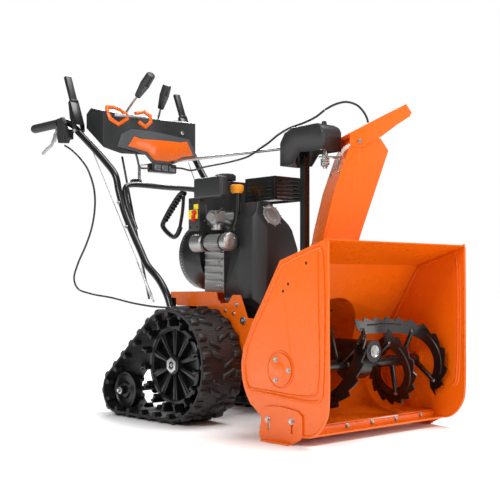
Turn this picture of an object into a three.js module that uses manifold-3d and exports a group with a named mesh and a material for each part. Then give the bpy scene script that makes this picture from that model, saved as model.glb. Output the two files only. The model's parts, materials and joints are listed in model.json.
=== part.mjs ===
// A two stage snowblower on triangular rubber tracks: an auger housing at the front, an
// impeller and a turning chute behind it, an engine on a box frame, and a handlebar with a dash.
// Millimetres. x runs across the machine (the operator's right is -x), y runs from the housing's
// front edge to the grips, z is up from the ground. The group is then shifted along y, so that
// the part's origin is the centre of its footprint.
import * as THREE from "three";
import { mergeVertices } from "three/addons/utils/BufferGeometryUtils.js";
import Module from "manifold-3d";

const wasm = await Module();
wasm.setup();

// ---- Driving dimensions ----
const GAP = 0.3; // gap between neighbouring pieces
const SHEET = 3; // sheet steel thickness
const FOOTPRINT_MIDDLE = 811.5; // y of the middle between the housing front edge and the grip ends

const HOUSING_HALF = 308; // half of the clearing width, to the outer faces of the side plates
const AUGER = { y: 183, z: 206, radius: 138, wrap: 158 };
const IMPELLER = { z: 247, radius: 150, drum: 157, back: 407 };
const CHUTE = { y: 302, base: 458, collar: 74, half: 71, turn: 58 };
const DEFLECTOR_PIN = { y: 214, z: 880, radius: 4 };
const POST = { y: 390, size: 22 };
const CRANK = { z: 546, pulley: 38 };
const BELT_PLANE = 501; // y of the auger belt's front face
const FRAME_HALF = 151; // engine frame, half width
const AXLE = { y: 686, z: 187, radius: 12 };
const IDLER = { y: 976, z: 84, radius: 64 };
const TRACK = { inner: 158, outer: 321, big: 177, small: 74, thick: 7, lug: 10 };
const HANDLE_RADIUS = 12.5;
const HANDLE_HALF = 209; // the lower handle tubes, from the middle
const GRIP = { x: 262, z: 1053, radius: 17, start: 1428, end: 1623 };
const CLUTCH = { y: 1302, z: 1010, lean: 23.5, reach: 226 };

// ---- Finishes ----
const FINISHES = {
  orange_paint: [0xf56a12, 0.35, 0.1],
  black_paint: [0x161616, 0.4, 0.2],
  dark_plastic: [0x3b3c3c, 0.55, 0],
  black_plastic: [0x1c1c1c, 0.6, 0],
  rubber: [0x1a1a1a, 0.85, 0],
  cast_metal: [0xa8a8a6, 0.5, 0.9],
  bright_steel: [0xc4c4c2, 0.3, 1],
  yellow_plastic: [0xf2a516, 0.45, 0],
  red_plastic: [0xd02018, 0.45, 0],
};

const machine = new THREE.Group();
machine.position.y = -FOOTPRINT_MIDDLE;

// ---- Solids ----
// A closed geometry as a solid for joining and cutting, with its faces turned outwards.
function solid(geometry) {
  const bare = geometry.clone();
  bare.deleteAttribute("normal");
  bare.deleteAttribute("uv");
  const merged = mergeVertices(bare, 1e-3);
  const corners = [];
  const source = merged.index.array;
  for (let i = 0; i < source.length; i += 3) {
    const [a, b, c] = [source[i], source[i + 1], source[i + 2]];
    if (a !== b && b !== c && c !== a) corners.push(a, b, c);
  }
  const make = (list) =>
    new wasm.Manifold(
      new wasm.Mesh({
        numProp: 3,
        vertProperties: merged.attributes.position.array,
        triVerts: new Uint32Array(list),
      }),
    );
  const made = make(corners);
  return made.volume() > 0 ? made : make(corners.reverse());
}

function geometryOf(made) {
  const mesh = made.getMesh();
  const geometry = new THREE.BufferGeometry();
  const points = new Float32Array(mesh.numVert * 3);
  for (let i = 0; i < mesh.numVert; i++) {
    points.set(mesh.vertProperties.subarray(i * mesh.numProp, i * mesh.numProp + 3), i * 3);
  }
  geometry.setAttribute("position", new THREE.BufferAttribute(points, 3));
  geometry.setIndex(new THREE.BufferAttribute(mesh.triVerts, 1));
  return geometry;
}

const join = (...pieces) => geometryOf(pieces.map(solid).reduce((a, b) => a.add(b)));
const common = (...pieces) => geometryOf(pieces.map(solid).reduce((a, b) => a.intersect(b)));
const cut = (piece, ...tools) =>
  geometryOf(tools.map(solid).reduce((a, b) => a.subtract(b), solid(piece)));
const mirrored = (geometry) => geometryOf(solid(geometry.clone().scale(-1, 1, 1)));

// Adds one named piece to the machine.
function piece(name, geometry, finish) {
  const [color, roughness, metalness] = FINISHES[finish];
  const material = new THREE.MeshStandardMaterial({ color, roughness, metalness });
  const shape = geometryOf(solid(geometry)).toNonIndexed();
  shape.computeVertexNormals();
  const mesh = new THREE.Mesh(shape, material);
  mesh.name = name;
  machine.add(mesh);
}

// Adds a piece and its mirror image; the given one is the operator's right, at -x.
function pair(name, geometry, finish) {
  piece(`${name}_right`, geometry, finish);
  piece(`${name}_left`, mirrored(geometry), finish);
}

// ---- Basic shapes ----
const V = (x, y, z) => new THREE.Vector3(x, y, z);
const degrees = (angle) => (angle * Math.PI) / 180;

function box(x0, x1, y0, y1, z0, z1) {
  const geometry = new THREE.BoxGeometry(x1 - x0, y1 - y0, z1 - z0);
  return geometry.translate((x0 + x1) / 2, (y0 + y1) / 2, (z0 + z1) / 2);
}

function extruded(outline, depth, holes = []) {
  const shape = new THREE.Shape(outline.map(([a, b]) => new THREE.Vector2(a, b)));
  for (const hole of holes) shape.holes.push(new THREE.Path(hole.map(([a, b]) => new THREE.Vector2(a, b))));
  return new THREE.ExtrudeGeometry(shape, { depth, bevelEnabled: false });
}

// An outline of (y, z) points, between two x values.
function plateX(outline, x0, x1, holes) {
  const turn = new THREE.Matrix4().set(0, 0, 1, x0, 1, 0, 0, 0, 0, 1, 0, 0, 0, 0, 0, 1);
  return extruded(outline, x1 - x0, holes).applyMatrix4(turn);
}

// An outline of (x, z) points, between two y values.
function plateY(outline, y0, y1, holes) {
  const turn = new THREE.Matrix4().set(1, 0, 0, 0, 0, 0, -1, y1, 0, 1, 0, 0, 0, 0, 0, 1);
  return extruded(outline, y1 - y0, holes).applyMatrix4(turn);
}

// An outline of (x, y) points, between two z values.
function plateZ(outline, z0, z1, holes) {
  return extruded(outline, z1 - z0, holes).translate(0, 0, z0);
}

function rod(from, to, radius, sides = 16, radiusTo = radius) {
  const along = to.clone().sub(from);
  const geometry = new THREE.CylinderGeometry(radiusTo, radius, along.length(), sides);
  const turn = new THREE.Quaternion().setFromUnitVectors(V(0, 1, 0), along.clone().normalize());
  const middle = from.clone().add(to).multiplyScalar(0.5);
  return geometry.applyQuaternion(turn).translate(middle.x, middle.y, middle.z);
}

// A profile of (radius, height) points turned about an axis through `centre`.
function turned(profile, axis, centre, segments = 32) {
  const points = profile.map(([r, h]) => new THREE.Vector2(r, h));
  const geometry = new THREE.LatheGeometry(points, segments);
  const turn = new THREE.Quaternion().setFromUnitVectors(V(0, 1, 0), axis);
  return geometry.applyQuaternion(turn).translate(centre.x, centre.y, centre.z);
}

const circle = (radius, sides, a = 0, b = 0) =>
  Array.from({ length: sides }, (_, i) => {
    const angle = (2 * Math.PI * i) / sides;
    return [a + radius * Math.cos(angle), b + radius * Math.sin(angle)];
  });

function arc(centreA, centreB, radius, from, to, steps) {
  return Array.from({ length: steps + 1 }, (_, i) => {
    const angle = degrees(from + ((to - from) * i) / steps);
    return [centreA + radius * Math.cos(angle), centreB + radius * Math.sin(angle)];
  });
}

function tube(points, radius, sides, steps) {
  const path = new THREE.CatmullRomCurve3(points, false, "centripetal");
  const section = new THREE.Shape(circle(radius, sides).map(([a, b]) => new THREE.Vector2(a, b)));
  return new THREE.ExtrudeGeometry(section, { steps, extrudePath: path, bevelEnabled: false });
}

// ---- Auger housing, with the flanged bearings of the auger shaft on its side plates ----
const SHAFT_RADIUS = 13;
const PLATE_OUTLINE = [
  [0, 570],
  [186, 512],
  [255, 403],
  [295, 343],
  [338, 262],
  ...arc(AUGER.y, AUGER.z, AUGER.wrap + 7, 5, -40, 5),
  [270, 74],
  [185, 28],
  [95, 28],
  ...arc(97, 125, 97, -92, -180, 6),
];
// The wrap sheet follows the side plate from the top lip, round the back, to the scraper.
const wrapLine = (offset) => [
  [0, 566 - offset],
  [184 - offset, 508.5 - offset],
  [251 - offset, 402 - offset * 0.5],
  [291 - offset, 342 - offset * 0.5],
  ...arc(AUGER.y, AUGER.z, AUGER.wrap + SHEET - offset, 30, -90, 14),
  [120, 45 + offset],
];

function augerHousing() {
  const outer = wrapLine(0);
  const inner = wrapLine(SHEET);
  const wrap = plateX([...outer, ...inner.reverse()], -HOUSING_HALF + 1, HOUSING_HALF - 1);
  const plate = plateX(PLATE_OUTLINE, HOUSING_HALF - SHEET, HOUSING_HALF);
  const chamber = plateX(
    [...wrapLine(SHEET * 0.5), [-50, 45], [-50, 600], [0, 600]],
    -HOUSING_HALF,
    HOUSING_HALF,
  );
  const drumAxis = (y0, y1, r, sides) => rod(V(0, y0, IMPELLER.z), V(0, y1, IMPELLER.z), r, sides);
  const neckRadius = CHUTE.collar - 6;
  const neck = (z0, z1, r) => rod(V(0, CHUTE.y, z0), V(0, CHUTE.y, z1), r, 32);
  const behind = cut(
    join(
      drumAxis(240, IMPELLER.back + SHEET, IMPELLER.drum + SHEET, 36),
      neck(IMPELLER.z + 60, CHUTE.base - 10, neckRadius + SHEET),
    ),
    chamber,
  );
  const neckHollow = cut(neck(IMPELLER.z + 60, CHUTE.base + 5, neckRadius), chamber);
  const bearing = rod(
    V(-HOUSING_HALF - 4, AUGER.y, AUGER.z),
    V(-HOUSING_HALF + 12, AUGER.y, AUGER.z),
    SHAFT_RADIUS + 9,
    20,
  );
  const flange = rod(
    V(-HOUSING_HALF - 4, AUGER.y, AUGER.z),
    V(-HOUSING_HALF + 1, AUGER.y, AUGER.z),
    46,
    28,
  );
  const sides = [plate, bearing, flange];
  const shell = join(wrap, ...sides, ...sides.map(mirrored), behind);
  return cut(
    shell,
    drumAxis(200, IMPELLER.back, IMPELLER.drum, 36),
    neckHollow,
    drumAxis(IMPELLER.back - 5, IMPELLER.back + 10, 16, 20),
    rod(
      V(-HOUSING_HALF - 5, AUGER.y, AUGER.z),
      V(HOUSING_HALF + 5, AUGER.y, AUGER.z),
      SHAFT_RADIUS + GAP,
      20,
    ),
  );
}
piece("auger_housing", augerHousing(), "orange_paint");

const SCRAPER = [
  [78, 24],
  [119.7, 24],
  [119.7, 44],
  [112, 44],
  [112, 30],
  [78, 30],
];
piece("scraper_bar", plateX(SCRAPER, -300, 300), "orange_paint");


// ---- Skid shoes ----
const SHOE = { inner: HOUSING_HALF + GAP, outer: HOUSING_HALF + 6, foot: 328, slot: 8 };
function skidShoe() {
  const outline = [
    [252, 90],
    [266, 22],
    [262, 6],
    [246, 0],
    [135, 0],
    [101, 18],
    [92, 32],
    [93, 84],
    [113, 97],
    [180, 104],
    [236, 100],
  ];
  const slot = (y) => box(-SHOE.outer - 1, -SHOE.inner + 1, y - SHOE.slot / 2, y + SHOE.slot / 2, 32, 70);
  const face = plateX(outline, -SHOE.outer, -SHOE.inner);
  const foot = box(-SHOE.foot, -SHOE.inner - 1, 135, 246, 0, 6);
  return cut(join(face, foot), slot(133), slot(226));
}
pair("skid_shoe", skidShoe(), "orange_paint");

// ---- Auger ----
const WORM_RADIUS = 13.2;
function augerShaft() {
  const shaft = rod(V(-302, AUGER.y, AUGER.z), V(302, AUGER.y, AUGER.z), SHAFT_RADIUS, 20);
  const wheelRadius = IMPELLER.z - AUGER.z - WORM_RADIUS - 0.5;
  const wormWheel = rod(V(-10, AUGER.y, AUGER.z), V(10, AUGER.y, AUGER.z), wheelRadius, 40);
  return join(shaft, wormWheel);
}
piece("auger_shaft", augerShaft(), "bright_steel");

// Each ribbon's way: distance from the machine's middle, and degrees about the shaft.
const RIBBONS = [
  [
    [55, 70],
    [100, 80],
    [150, 92],
    [200, 105],
    [245, 128],
    [270, 160],
    [283, 200],
    [288, 232],
  ],
  [
    [55, 130],
    [95, 160],
    [137, 200],
    [165, 240],
    [187, 280],
    [210, 325],
    [245, 362],
    [286, 400],
  ],
];
const STRIP = { inner: 94, thick: 4, notch: 9, spoke: 104 };
const ribbonCurve = (way) =>
  new THREE.CatmullRomCurve3(way.map(([x, turn]) => V(x, turn, 0)), false, "centripetal");

// One serrated strip; its width is radial and its thickness is across its own helix.
function ribbon(way, teeth) {
  const curve = ribbonCurve(way);
  const steps = teeth * 2;
  const geometry = new THREE.BoxGeometry(1, 1, 1, steps, 1, 1);
  const points = geometry.attributes.position;
  for (let i = 0; i < points.count; i++) {
    const along = points.getX(i) + 0.5;
    const step = Math.round(along * steps);
    const tip = step % 2 ? AUGER.radius : AUGER.radius - STRIP.notch;
    const radius = STRIP.inner + (points.getY(i) + 0.5) * (tip - STRIP.inner);
    const middle = curve.getPoint(along);
    const next = curve.getPoint(Math.min(along + 0.01, 1));
    const last = curve.getPoint(Math.max(along - 0.01, 0));
    const run = degrees(next.y - last.y) * radius;
    const length = Math.hypot(next.x - last.x, run);
    const side = points.getZ(i) * STRIP.thick;
    const turn = degrees(middle.y) - (side * (next.x - last.x)) / length / radius;
    points.setXYZ(
      i,
      -middle.x - (side * run) / length,
      AUGER.y + radius * Math.cos(turn),
      AUGER.z + radius * Math.sin(turn),
    );
  }
  return geometry;
}

function augerRake() {
  const parts = [rod(V(-294, AUGER.y, AUGER.z), V(-46, AUGER.y, AUGER.z), 18, 20)];
  [11, 15].forEach((teeth, i) => {
    parts.push(ribbon(RIBBONS[i], teeth));
    for (const along of [0.06, 0.5, 0.94]) {
      const { x, y } = ribbonCurve(RIBBONS[i]).getPoint(along);
      const [cos, sin] = [Math.cos(degrees(y)), Math.sin(degrees(y))];
      const end = V(-x, AUGER.y + STRIP.spoke * cos, AUGER.z + STRIP.spoke * sin);
      parts.push(rod(V(-x, AUGER.y, AUGER.z), end, 7, 8));
    }
  });
  const bore = rod(V(-300, AUGER.y, AUGER.z), V(-40, AUGER.y, AUGER.z), SHAFT_RADIUS + GAP, 20);
  return cut(join(...parts), bore);
}
pair("auger_rake", augerRake(), "black_paint");

// The gearcase holds the worm and its wheel; it is hollow, with a bore for each shaft.
function gearcase() {
  const along = (y0, y1, r) => rod(V(0, y0, IMPELLER.z), V(0, y1, IMPELLER.z), r, 20);
  const across = (half, r) => rod(V(-half, AUGER.y, AUGER.z), V(half, AUGER.y, AUGER.z), r, 24);
  return cut(
    join(along(104, 262, 33), across(34, 46)),
    along(110, 257, 27),
    across(28, 40),
    across(40, SHAFT_RADIUS + GAP),
    along(250, 270, SHAFT_RADIUS + GAP),
  );
}
piece("auger_gearcase", gearcase(), "black_paint");

// ---- Impeller ----
function impeller() {
  const hub = rod(V(0, 326, IMPELLER.z), V(0, 400, IMPELLER.z), 26, 24);
  const blades = [];
  for (let i = 0; i < 4; i++) {
    const blade = join(
      box(-3, 3, 330, 398, 10, IMPELLER.radius),
      box(-3, 22, 330, 398, IMPELLER.radius - 24, IMPELLER.radius - 18),
    );
    blades.push(blade.rotateY(degrees(90 * i + 20)).translate(0, 0, IMPELLER.z));
  }
  const bore = rod(V(0, 320, IMPELLER.z), V(0, 406, IMPELLER.z), SHAFT_RADIUS + GAP, 20);
  return cut(join(hub, ...blades), bore);
}
piece("impeller", impeller(), "black_paint");

function impellerShaft() {
  const shaft = rod(V(0, 112, IMPELLER.z), V(0, BELT_PLANE + 24, IMPELLER.z), SHAFT_RADIUS - 1, 20);
  const worm = rod(V(0, AUGER.y - 24, IMPELLER.z), V(0, AUGER.y + 24, IMPELLER.z), WORM_RADIUS, 28);
  return join(shaft, worm);
}
piece("impeller_shaft", impellerShaft(), "bright_steel");

// ---- Belt drive ----
const PULLEY = { half: 11, groove: 8, belt: 10 };
function pulley(radius, bore, z) {
  const { half, groove } = PULLEY;
  const profile = [
    [bore, -half],
    [radius, -half],
    [radius, -half + 4],
    [radius - groove, -half + 5.5],
    [radius - groove, half - 5.5],
    [radius, half - 4],
    [radius, half],
    [bore, half],
    [bore, -half],
  ];
  return turned(profile, V(0, 1, 0), V(0, BELT_PLANE + PULLEY.belt / 2, z), 28);
}
const DRIVEN_RADIUS = 64;
piece("impeller_pulley", pulley(DRIVEN_RADIUS, SHAFT_RADIUS - 1 + GAP, IMPELLER.z), "cast_metal");
piece(
  "engine_pulley",
  join(
    pulley(CRANK.pulley, 8, CRANK.z),
    rod(V(0, BELT_PLANE - 4, CRANK.z), V(0, 659.5, CRANK.z), 12, 20),
  ),
  "bright_steel",
);

// The outline round two wheels, one over the other, as (a, b) points.
function around(a0, b0, r0, a1, b1, r1, steps) {
  const span = Math.hypot(a1 - a0, b1 - b0);
  const heading = (Math.atan2(b1 - b0, a1 - a0) * 180) / Math.PI;
  const lean = (Math.acos((r0 - r1) / span) * 180) / Math.PI;
  return [
    ...arc(a0, b0, r0, heading + lean, heading + 360 - lean, steps),
    ...arc(a1, b1, r1, heading - lean, heading + lean, steps),
  ];
}
const beltLine = (offset) =>
  around(
    0,
    IMPELLER.z,
    DRIVEN_RADIUS - PULLEY.groove + offset,
    0,
    CRANK.z,
    CRANK.pulley - PULLEY.groove + offset,
    16,
  );
piece(
  "auger_belt",
  plateY(beltLine(8.5), BELT_PLANE + 0.8, BELT_PLANE + PULLEY.belt - 0.8, [beltLine(0.6)]),
  "rubber",
);

// ---- Chute ----
const NECK_TOP = CHUTE.base - 10;
function turnedAboutChute(profile, segments = 32) {
  return turned(profile, V(0, 0, 1), V(0, CHUTE.y, 0), segments);
}
piece(
  "chute_base_ring",
  turnedAboutChute([
    [CHUTE.collar - 8, NECK_TOP + GAP],
    [CHUTE.collar + 2, NECK_TOP + GAP],
    [CHUTE.collar + 2, CHUTE.base - GAP],
    [CHUTE.collar - 8, CHUTE.base - GAP],
    [CHUTE.collar - 8, NECK_TOP + GAP],
  ]),
  "black_paint",
);

// The chute, its deflector and its arm are drawn facing forwards, then aimed to one side.
const aimed = (geometry) =>
  geometry.translate(0, -CHUTE.y, 0).rotateZ(degrees(CHUTE.turn)).translate(0, CHUTE.y, 0);

const CHUTE_SIDE = [
  [327, 575],
  [321, 610],
  [291, 732],
  [250, 849],
  [219, 907],
  [147, 892],
  [122, 855],
  [209, 602],
  [217, 575],
];
function chute() {
  const pillar = (z0, z1, r) => rod(V(0, CHUTE.y, z0), V(0, CHUTE.y, z1), r, 32);
  const front = (shift) =>
    plateX(
      [
        [376 - shift, 440],
        [376 - shift, 468],
        [327 - shift, 577],
        [327 - shift, 590],
        [80, 590],
        [80, 440],
      ],
      -90,
      90,
    );
  const outer = join(
    plateX(CHUTE_SIDE, -CHUTE.half, CHUTE.half),
    common(pillar(CHUTE.base, 577, CHUTE.collar), front(0)),
    pillar(CHUTE.base, CHUTE.base + 4, CHUTE.collar + 2),
  );
  const inside = plateX(
    [
      [323.8, 578],
      [317.8, 609],
      [288, 731.2],
      [247.2, 847.6],
      [214, 910],
      [214, 960],
      [60, 960],
      [60, 578],
    ],
    -CHUTE.half + SHEET,
    CHUTE.half - SHEET,
  );
  const throat = common(pillar(CHUTE.base - 5, 579, CHUTE.collar - SHEET), front(SHEET));
  const pin = rod(
    V(-CHUTE.half - 8, DEFLECTOR_PIN.y, DEFLECTOR_PIN.z),
    V(-CHUTE.half + SHEET, DEFLECTOR_PIN.y, DEFLECTOR_PIN.z),
    DEFLECTOR_PIN.radius,
    12,
  );
  return join(cut(outer, inside, throat), pin, mirrored(pin));
}
piece("chute", aimed(chute()), "orange_paint");

// ---- Deflector: a cap over the chute's mouth, open below and behind ----
const DEFLECTOR_SIDE = [
  [244, 872],
  [244, 906],
  [65, 1000],
  [47, 975],
  [52, 962],
  [94, 935],
  [147, 895],
  [182, 878],
  [198, 864],
  [230, 862],
];
const DEFLECTOR_HALF = CHUTE.half + 3.2;
function deflector() {
  const outer = plateX(DEFLECTOR_SIDE, -DEFLECTOR_HALF, DEFLECTOR_HALF);
  const inside = plateX(
    [
      [270, 830],
      [270, 889.4],
      [40, 1010.2],
      [20, 1010.2],
      [20, 830],
    ],
    -DEFLECTOR_HALF + 2.6,
    DEFLECTOR_HALF - 2.6,
  );
  const pin = rod(
    V(-90, DEFLECTOR_PIN.y, DEFLECTOR_PIN.z),
    V(90, DEFLECTOR_PIN.y, DEFLECTOR_PIN.z),
    DEFLECTOR_PIN.radius + 0.5,
    12,
  );
  return cut(outer, inside, pin);
}
piece("deflector", aimed(deflector()), "orange_paint");

// ---- Gearhead over the chute: post, cover, output gear with its arm and sprung bolt ----
const HEAD = { half: 44, arm: 838, top: 942, gear: 27 };
const HEAD_SIDE = [
  [462, 823],
  [462, 896],
  [440, 929],
  [408, 941],
  [300, HEAD.top],
  [278, 932],
  [270, 916],
  [270, 858],
  [369, 858],
  [400, 823],
];
const HEAD_INSIDE = [
  [459, 800],
  [459, 895],
  [438, 926.5],
  [407, 938],
  [301, 939],
  [280, 930],
  [273, 915],
  [273, 800],
];
const POST_TOP = 884;
function gearheadCover() {
  const shell = cut(
    plateX(HEAD_SIDE, -HEAD.half, HEAD.half),
    plateX(HEAD_INSIDE, -HEAD.half + SHEET, HEAD.half - SHEET),
  );
  return cut(shell, rod(V(0, 445, 885.5), V(2.5, 475, 886.4), 9, 16));
}
piece("gearhead_cover", gearheadCover(), "dark_plastic");

function chutePost() {
  const half = POST.size / 2;
  const column = box(-half, half, POST.y - half, POST.y + half, 413, POST_TOP);
  const foot = box(-30, 30, POST.y - half, 409, 411, 417);
  const shelf = box(-38, 38, 325, POST.y + 8, POST_TOP - 6, POST_TOP);
  const eye = rod(V(0, CHUTE.y, POST_TOP - 6), V(0, CHUTE.y, POST_TOP), 26, 24);
  const neck = box(-26, 26, CHUTE.y, 330, POST_TOP - 6, POST_TOP);
  const bore = rod(V(0, CHUTE.y, POST_TOP - 10), V(0, CHUTE.y, POST_TOP + 5), 9.5, 20);
  return cut(join(column, foot, shelf, neck, eye), bore);
}
piece("chute_post", chutePost(), "black_paint");

// The gear, pivot bolt and arm turn with the chute; the arm is bolted to its rear wall.
function chuteArm() {
  const bolt = rod(V(0, CHUTE.y, 811), V(0, CHUTE.y, POST_TOP + 12), 9, 20);
  const gear = rod(V(0, CHUTE.y, 866), V(0, CHUTE.y, 874), HEAD.gear, 36);
  const arm = plateZ(
    [
      [-15, 254.5],
      [15, 254.5],
      [20, CHUTE.y],
      ...arc(0, CHUTE.y, 20, 20, 160, 6),
      [-20, CHUTE.y],
    ],
    HEAD.arm,
    HEAD.arm + 4,
  );
  const drop = plateX(
    [
      [252.9, 842],
      [256.4, 842],
      [271, 800],
      [267.6, 800],
    ],
    -15,
    15,
  );
  return join(bolt, gear, arm, drop);
}
piece("chute_arm", aimed(chuteArm()), "bright_steel");

// ---- Engine frame ----
const FRAME_SIDE = [
  [885, 420],
  [892, 404],
  [852, 373],
  [746, 372],
  [736, 359],
  [666, 359],
  [659, 346],
  [631, 321],
  [596, 316],
  [585, 250],
  [560, 180],
  [500, 130],
  [414, 130],
  [414, 334],
  [495, 339],
  [528, 411],
  [565, 411],
  [586, 386],
  [624, 383],
  [640, 399],
  [645, 420],
];
function engineFrame() {
  const side = plateX(FRAME_SIDE, -FRAME_HALF, -FRAME_HALF + SHEET);
  const top = box(-FRAME_HALF, FRAME_HALF, 656, 885, 417, 420);
  const rear = box(-FRAME_HALF, FRAME_HALF, 880, 883, 376, 420);
  const front = box(-FRAME_HALF, FRAME_HALF, 411, 414.5, 130, 333);
  const hole = rod(V(0, 400, IMPELLER.z), V(0, 420, IMPELLER.z), 17, 24);
  return cut(join(side, mirrored(side), top, rear, front), hole);
}
piece("engine_frame", engineFrame(), "orange_paint");

// Gearcase and axle tube across the bottom of the frame, with the cross member that carries the
// two handle tubes behind it.
function axleHousing() {
  const half = 138;
  const body = plateX(
    [
      [628, 314],
      [640, 200],
      [662, 155],
      [712, 155],
      [735, 200],
      [735, 352],
      [668, 352],
      [662, 338],
      [634, 314],
    ],
    -half,
    half,
  );
  const bore = rod(V(-half - 5, AXLE.y, AXLE.z), V(-45, AXLE.y, AXLE.z), AXLE.radius + GAP, 20);
  const tail = HANDLE_HALF - 14;
  const spine = box(-60, 60, 730, 815, 340, 351);
  const riser = box(-60, 60, 808, 815, 340, 371);
  const bar = box(-tail, tail, 808, 840, 360, 371);
  const ear = box(-tail - 1, -tail + 4, 806, 846, 352, 400);
  return cut(join(body, spine, riser, bar, ear, mirrored(ear)), bore, mirrored(bore));
}
piece("axle_housing", axleHousing(), "black_paint");

// ---- Handles ----
const HANDLE_PATH = [
  V(-HANDLE_HALF, 812, 366),
  V(-HANDLE_HALF, 831, 405),
  V(-HANDLE_HALF, 876, 459),
  V(-HANDLE_HALF, 948, 514),
  V(-HANDLE_HALF, 985, 564),
  V(-HANDLE_HALF, 1041, 640),
  V(-HANDLE_HALF, 1085, 710),
  V(-HANDLE_HALF - 1, 1113, 775),
  V(-HANDLE_HALF - 5, 1130, 835),
  V(-HANDLE_HALF - 15, 1180, 890),
  V(-256, 1302, 1004),
  V(-259, 1340, 1035),
  V(-GRIP.x + 1, 1378, 1050),
  V(-GRIP.x, 1418, GRIP.z),
  V(-GRIP.x, 1500, GRIP.z),
  V(-GRIP.x, GRIP.end - 8, GRIP.z),
];
const handleTube = (extra = 0, sides = 10, steps = 34) =>
  tube(HANDLE_PATH, HANDLE_RADIUS + extra, sides, steps);
pair("handlebar", handleTube(), "black_paint");

const gripSleeve = () =>
  cut(
    rod(V(-GRIP.x, GRIP.start, GRIP.z), V(-GRIP.x, GRIP.end, GRIP.z), GRIP.radius, 20),
    rod(V(-GRIP.x, GRIP.start - 5, GRIP.z), V(-GRIP.x, GRIP.end - 7, GRIP.z), HANDLE_RADIUS + 1, 16),
  );
pair("grip", gripSleeve(), "rubber");

// A U-shaped bar across the handles, its ends bent down along the tubes.
const BAR_HALF = 186;
piece(
  "handle_crossbar",
  tube(
    [
      V(-BAR_HALF, 1046, 640),
      V(-BAR_HALF, 1084, 705),
      V(-BAR_HALF, 1108, 765),
      V(-BAR_HALF + 6, 1116, 792),
      V(-BAR_HALF + 24, 1119, 803),
      V(0, 1119, 806),
      V(BAR_HALF - 24, 1119, 803),
      V(BAR_HALF - 6, 1116, 792),
      V(BAR_HALF, 1108, 765),
      V(BAR_HALF, 1084, 705),
      V(BAR_HALF, 1046, 640),
    ],
    10,
    8,
    30,
  ),
  "black_paint",
);

// ---- Clutch levers and the mode trigger ----
function clutchLever() {
  const channel = cut(
    box(-18.7, 18.7, -19, 9, -6, 118),
    box(-16.4, 16.4, -16, 20, -10, 112),
    box(-16.4, 16.4, -25, 20, -10, 16),
  );
  const blade = box(-13, 13, -19, -7, 110, CLUTCH.reach);
  return join(channel, blade)
    .rotateX(degrees(-CLUTCH.lean))
    .translate(-GRIP.x + 4, CLUTCH.y, CLUTCH.z);
}
pair("clutch_lever", clutchLever(), "black_plastic");

function leverHousing() {
  const side = plateX(
    [
      [1322, 985],
      [1336, 966],
      [1390, 972],
      [1400, 1000],
      [1396, 1060],
      [1368, 1066],
      [1350, 1040],
    ],
    -292,
    -277.5,
  );
  const clamp = plateX(
    [
      [1350, 985],
      [1390, 985],
      [1390, 1040],
      [1350, 1021],
    ],
    -280,
    -250,
  );
  return cut(join(side, clamp), handleTube(2 * GAP));
}
piece("lever_housing", leverHousing(), "dark_plastic");

piece(
  "mode_trigger",
  join(
    tube(
      [V(-277, 1412, 1030), V(-277, 1440, 1003), V(-277, 1462, 972), V(-277, 1492, 962), V(-277, 1526, 946)],
      5.5,
      8,
      16,
    ),
    rod(V(-285, 1414, 1024), V(-269, 1414, 1024), 10, 12),
  ),
  "cast_metal",
);

// ---- Dash ----
const DASH = { half: 216, rear: 1316, top: 1098, wall: 3.5 };
const dashPlan = (inset) => {
  const half = DASH.half - inset;
  const front = [];
  const steps = 12;
  for (let i = 0; i <= steps; i++) {
    const across = -1 + (2 * i) / steps;
    front.push([across * half, 1142 + inset + 62 * across * across]);
  }
  return [...front, [half, DASH.rear - inset], [-half, DASH.rear - inset]];
};
const dashSide = (inset) => [
  [1120, inset ? 860 : 924],
  [1120, 1052 - inset],
  [1160, 1066 - inset],
  [1286, DASH.top - inset],
  [1330, 1070 - inset],
  [1330, inset ? 860 : 1036],
  [1176, inset ? 860 : 924],
];
const SPEED = { x: -115, y: 1262, z: 1030 };
const TILT = { x: 35, y: 1240, z: 1020 };
function dash() {
  const outer = common(plateZ(dashPlan(0), 900, 1120), plateX(dashSide(0), -DASH.half, DASH.half));
  const inner = common(
    plateZ(dashPlan(DASH.wall), 880, 1120),
    plateX(dashSide(DASH.wall), -DASH.half, DASH.half),
  );
  const speedSlot = box(SPEED.x - 7, SPEED.x + 7, 1172, 1290, 1040, 1120);
  const tiltSlot = box(TILT.x - 7, TILT.x + 7, 1184, 1276, 1050, 1120);
  return cut(outer, inner, speedSlot, tiltSlot);
}
piece("dash_console", dash(), "dark_plastic");
function lever(pivot, knee, knobStart, knobEnd, knobRadius) {
  const x = pivot.x;
  const at = ([y, z]) => V(x, y, z);
  return join(
    rod(V(x - 10, pivot.y, pivot.z), V(x + 10, pivot.y, pivot.z), 9, 14),
    rod(V(x, pivot.y, pivot.z), at(knee), 4, 10),
    rod(at(knee), at(knobStart), 4, 10),
    rod(at(knobStart), at(knobEnd), knobRadius * 0.62, 12, knobRadius),
  );
}
piece("speed_lever", lever(SPEED, [1192, 1092], [1133, 1132], [1048, 1199], 20), "dark_plastic");
piece("deflector_lever", lever(TILT, [1206, 1080], [1192, 1112], [1150, 1196], 19), "dark_plastic");

// ---- Rods ----
const SHIFT_ROD_X = SPEED.x - 11;
piece("shift_rod", rod(V(SHIFT_ROD_X, 1214, 918), V(SHIFT_ROD_X, 1046, 392), 4, 8), "bright_steel");

const CRANK_ROD = { from: V(0, 428, 885), to: V(52, 1352, 912) };
function chuteCrank() {
  const arm = rod(CRANK_ROD.to, CRANK_ROD.to.clone().add(V(0, 0, -62)), 6, 10);
  const knobFoot = CRANK_ROD.to.clone().add(V(0, -4, -62));
  return join(
    rod(CRANK_ROD.from, CRANK_ROD.to, 6, 12),
    arm,
    rod(knobFoot, knobFoot.clone().add(V(3, 60, 2)), 13, 12),
  );
}
piece("chute_crank", chuteCrank(), "bright_steel");

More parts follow.
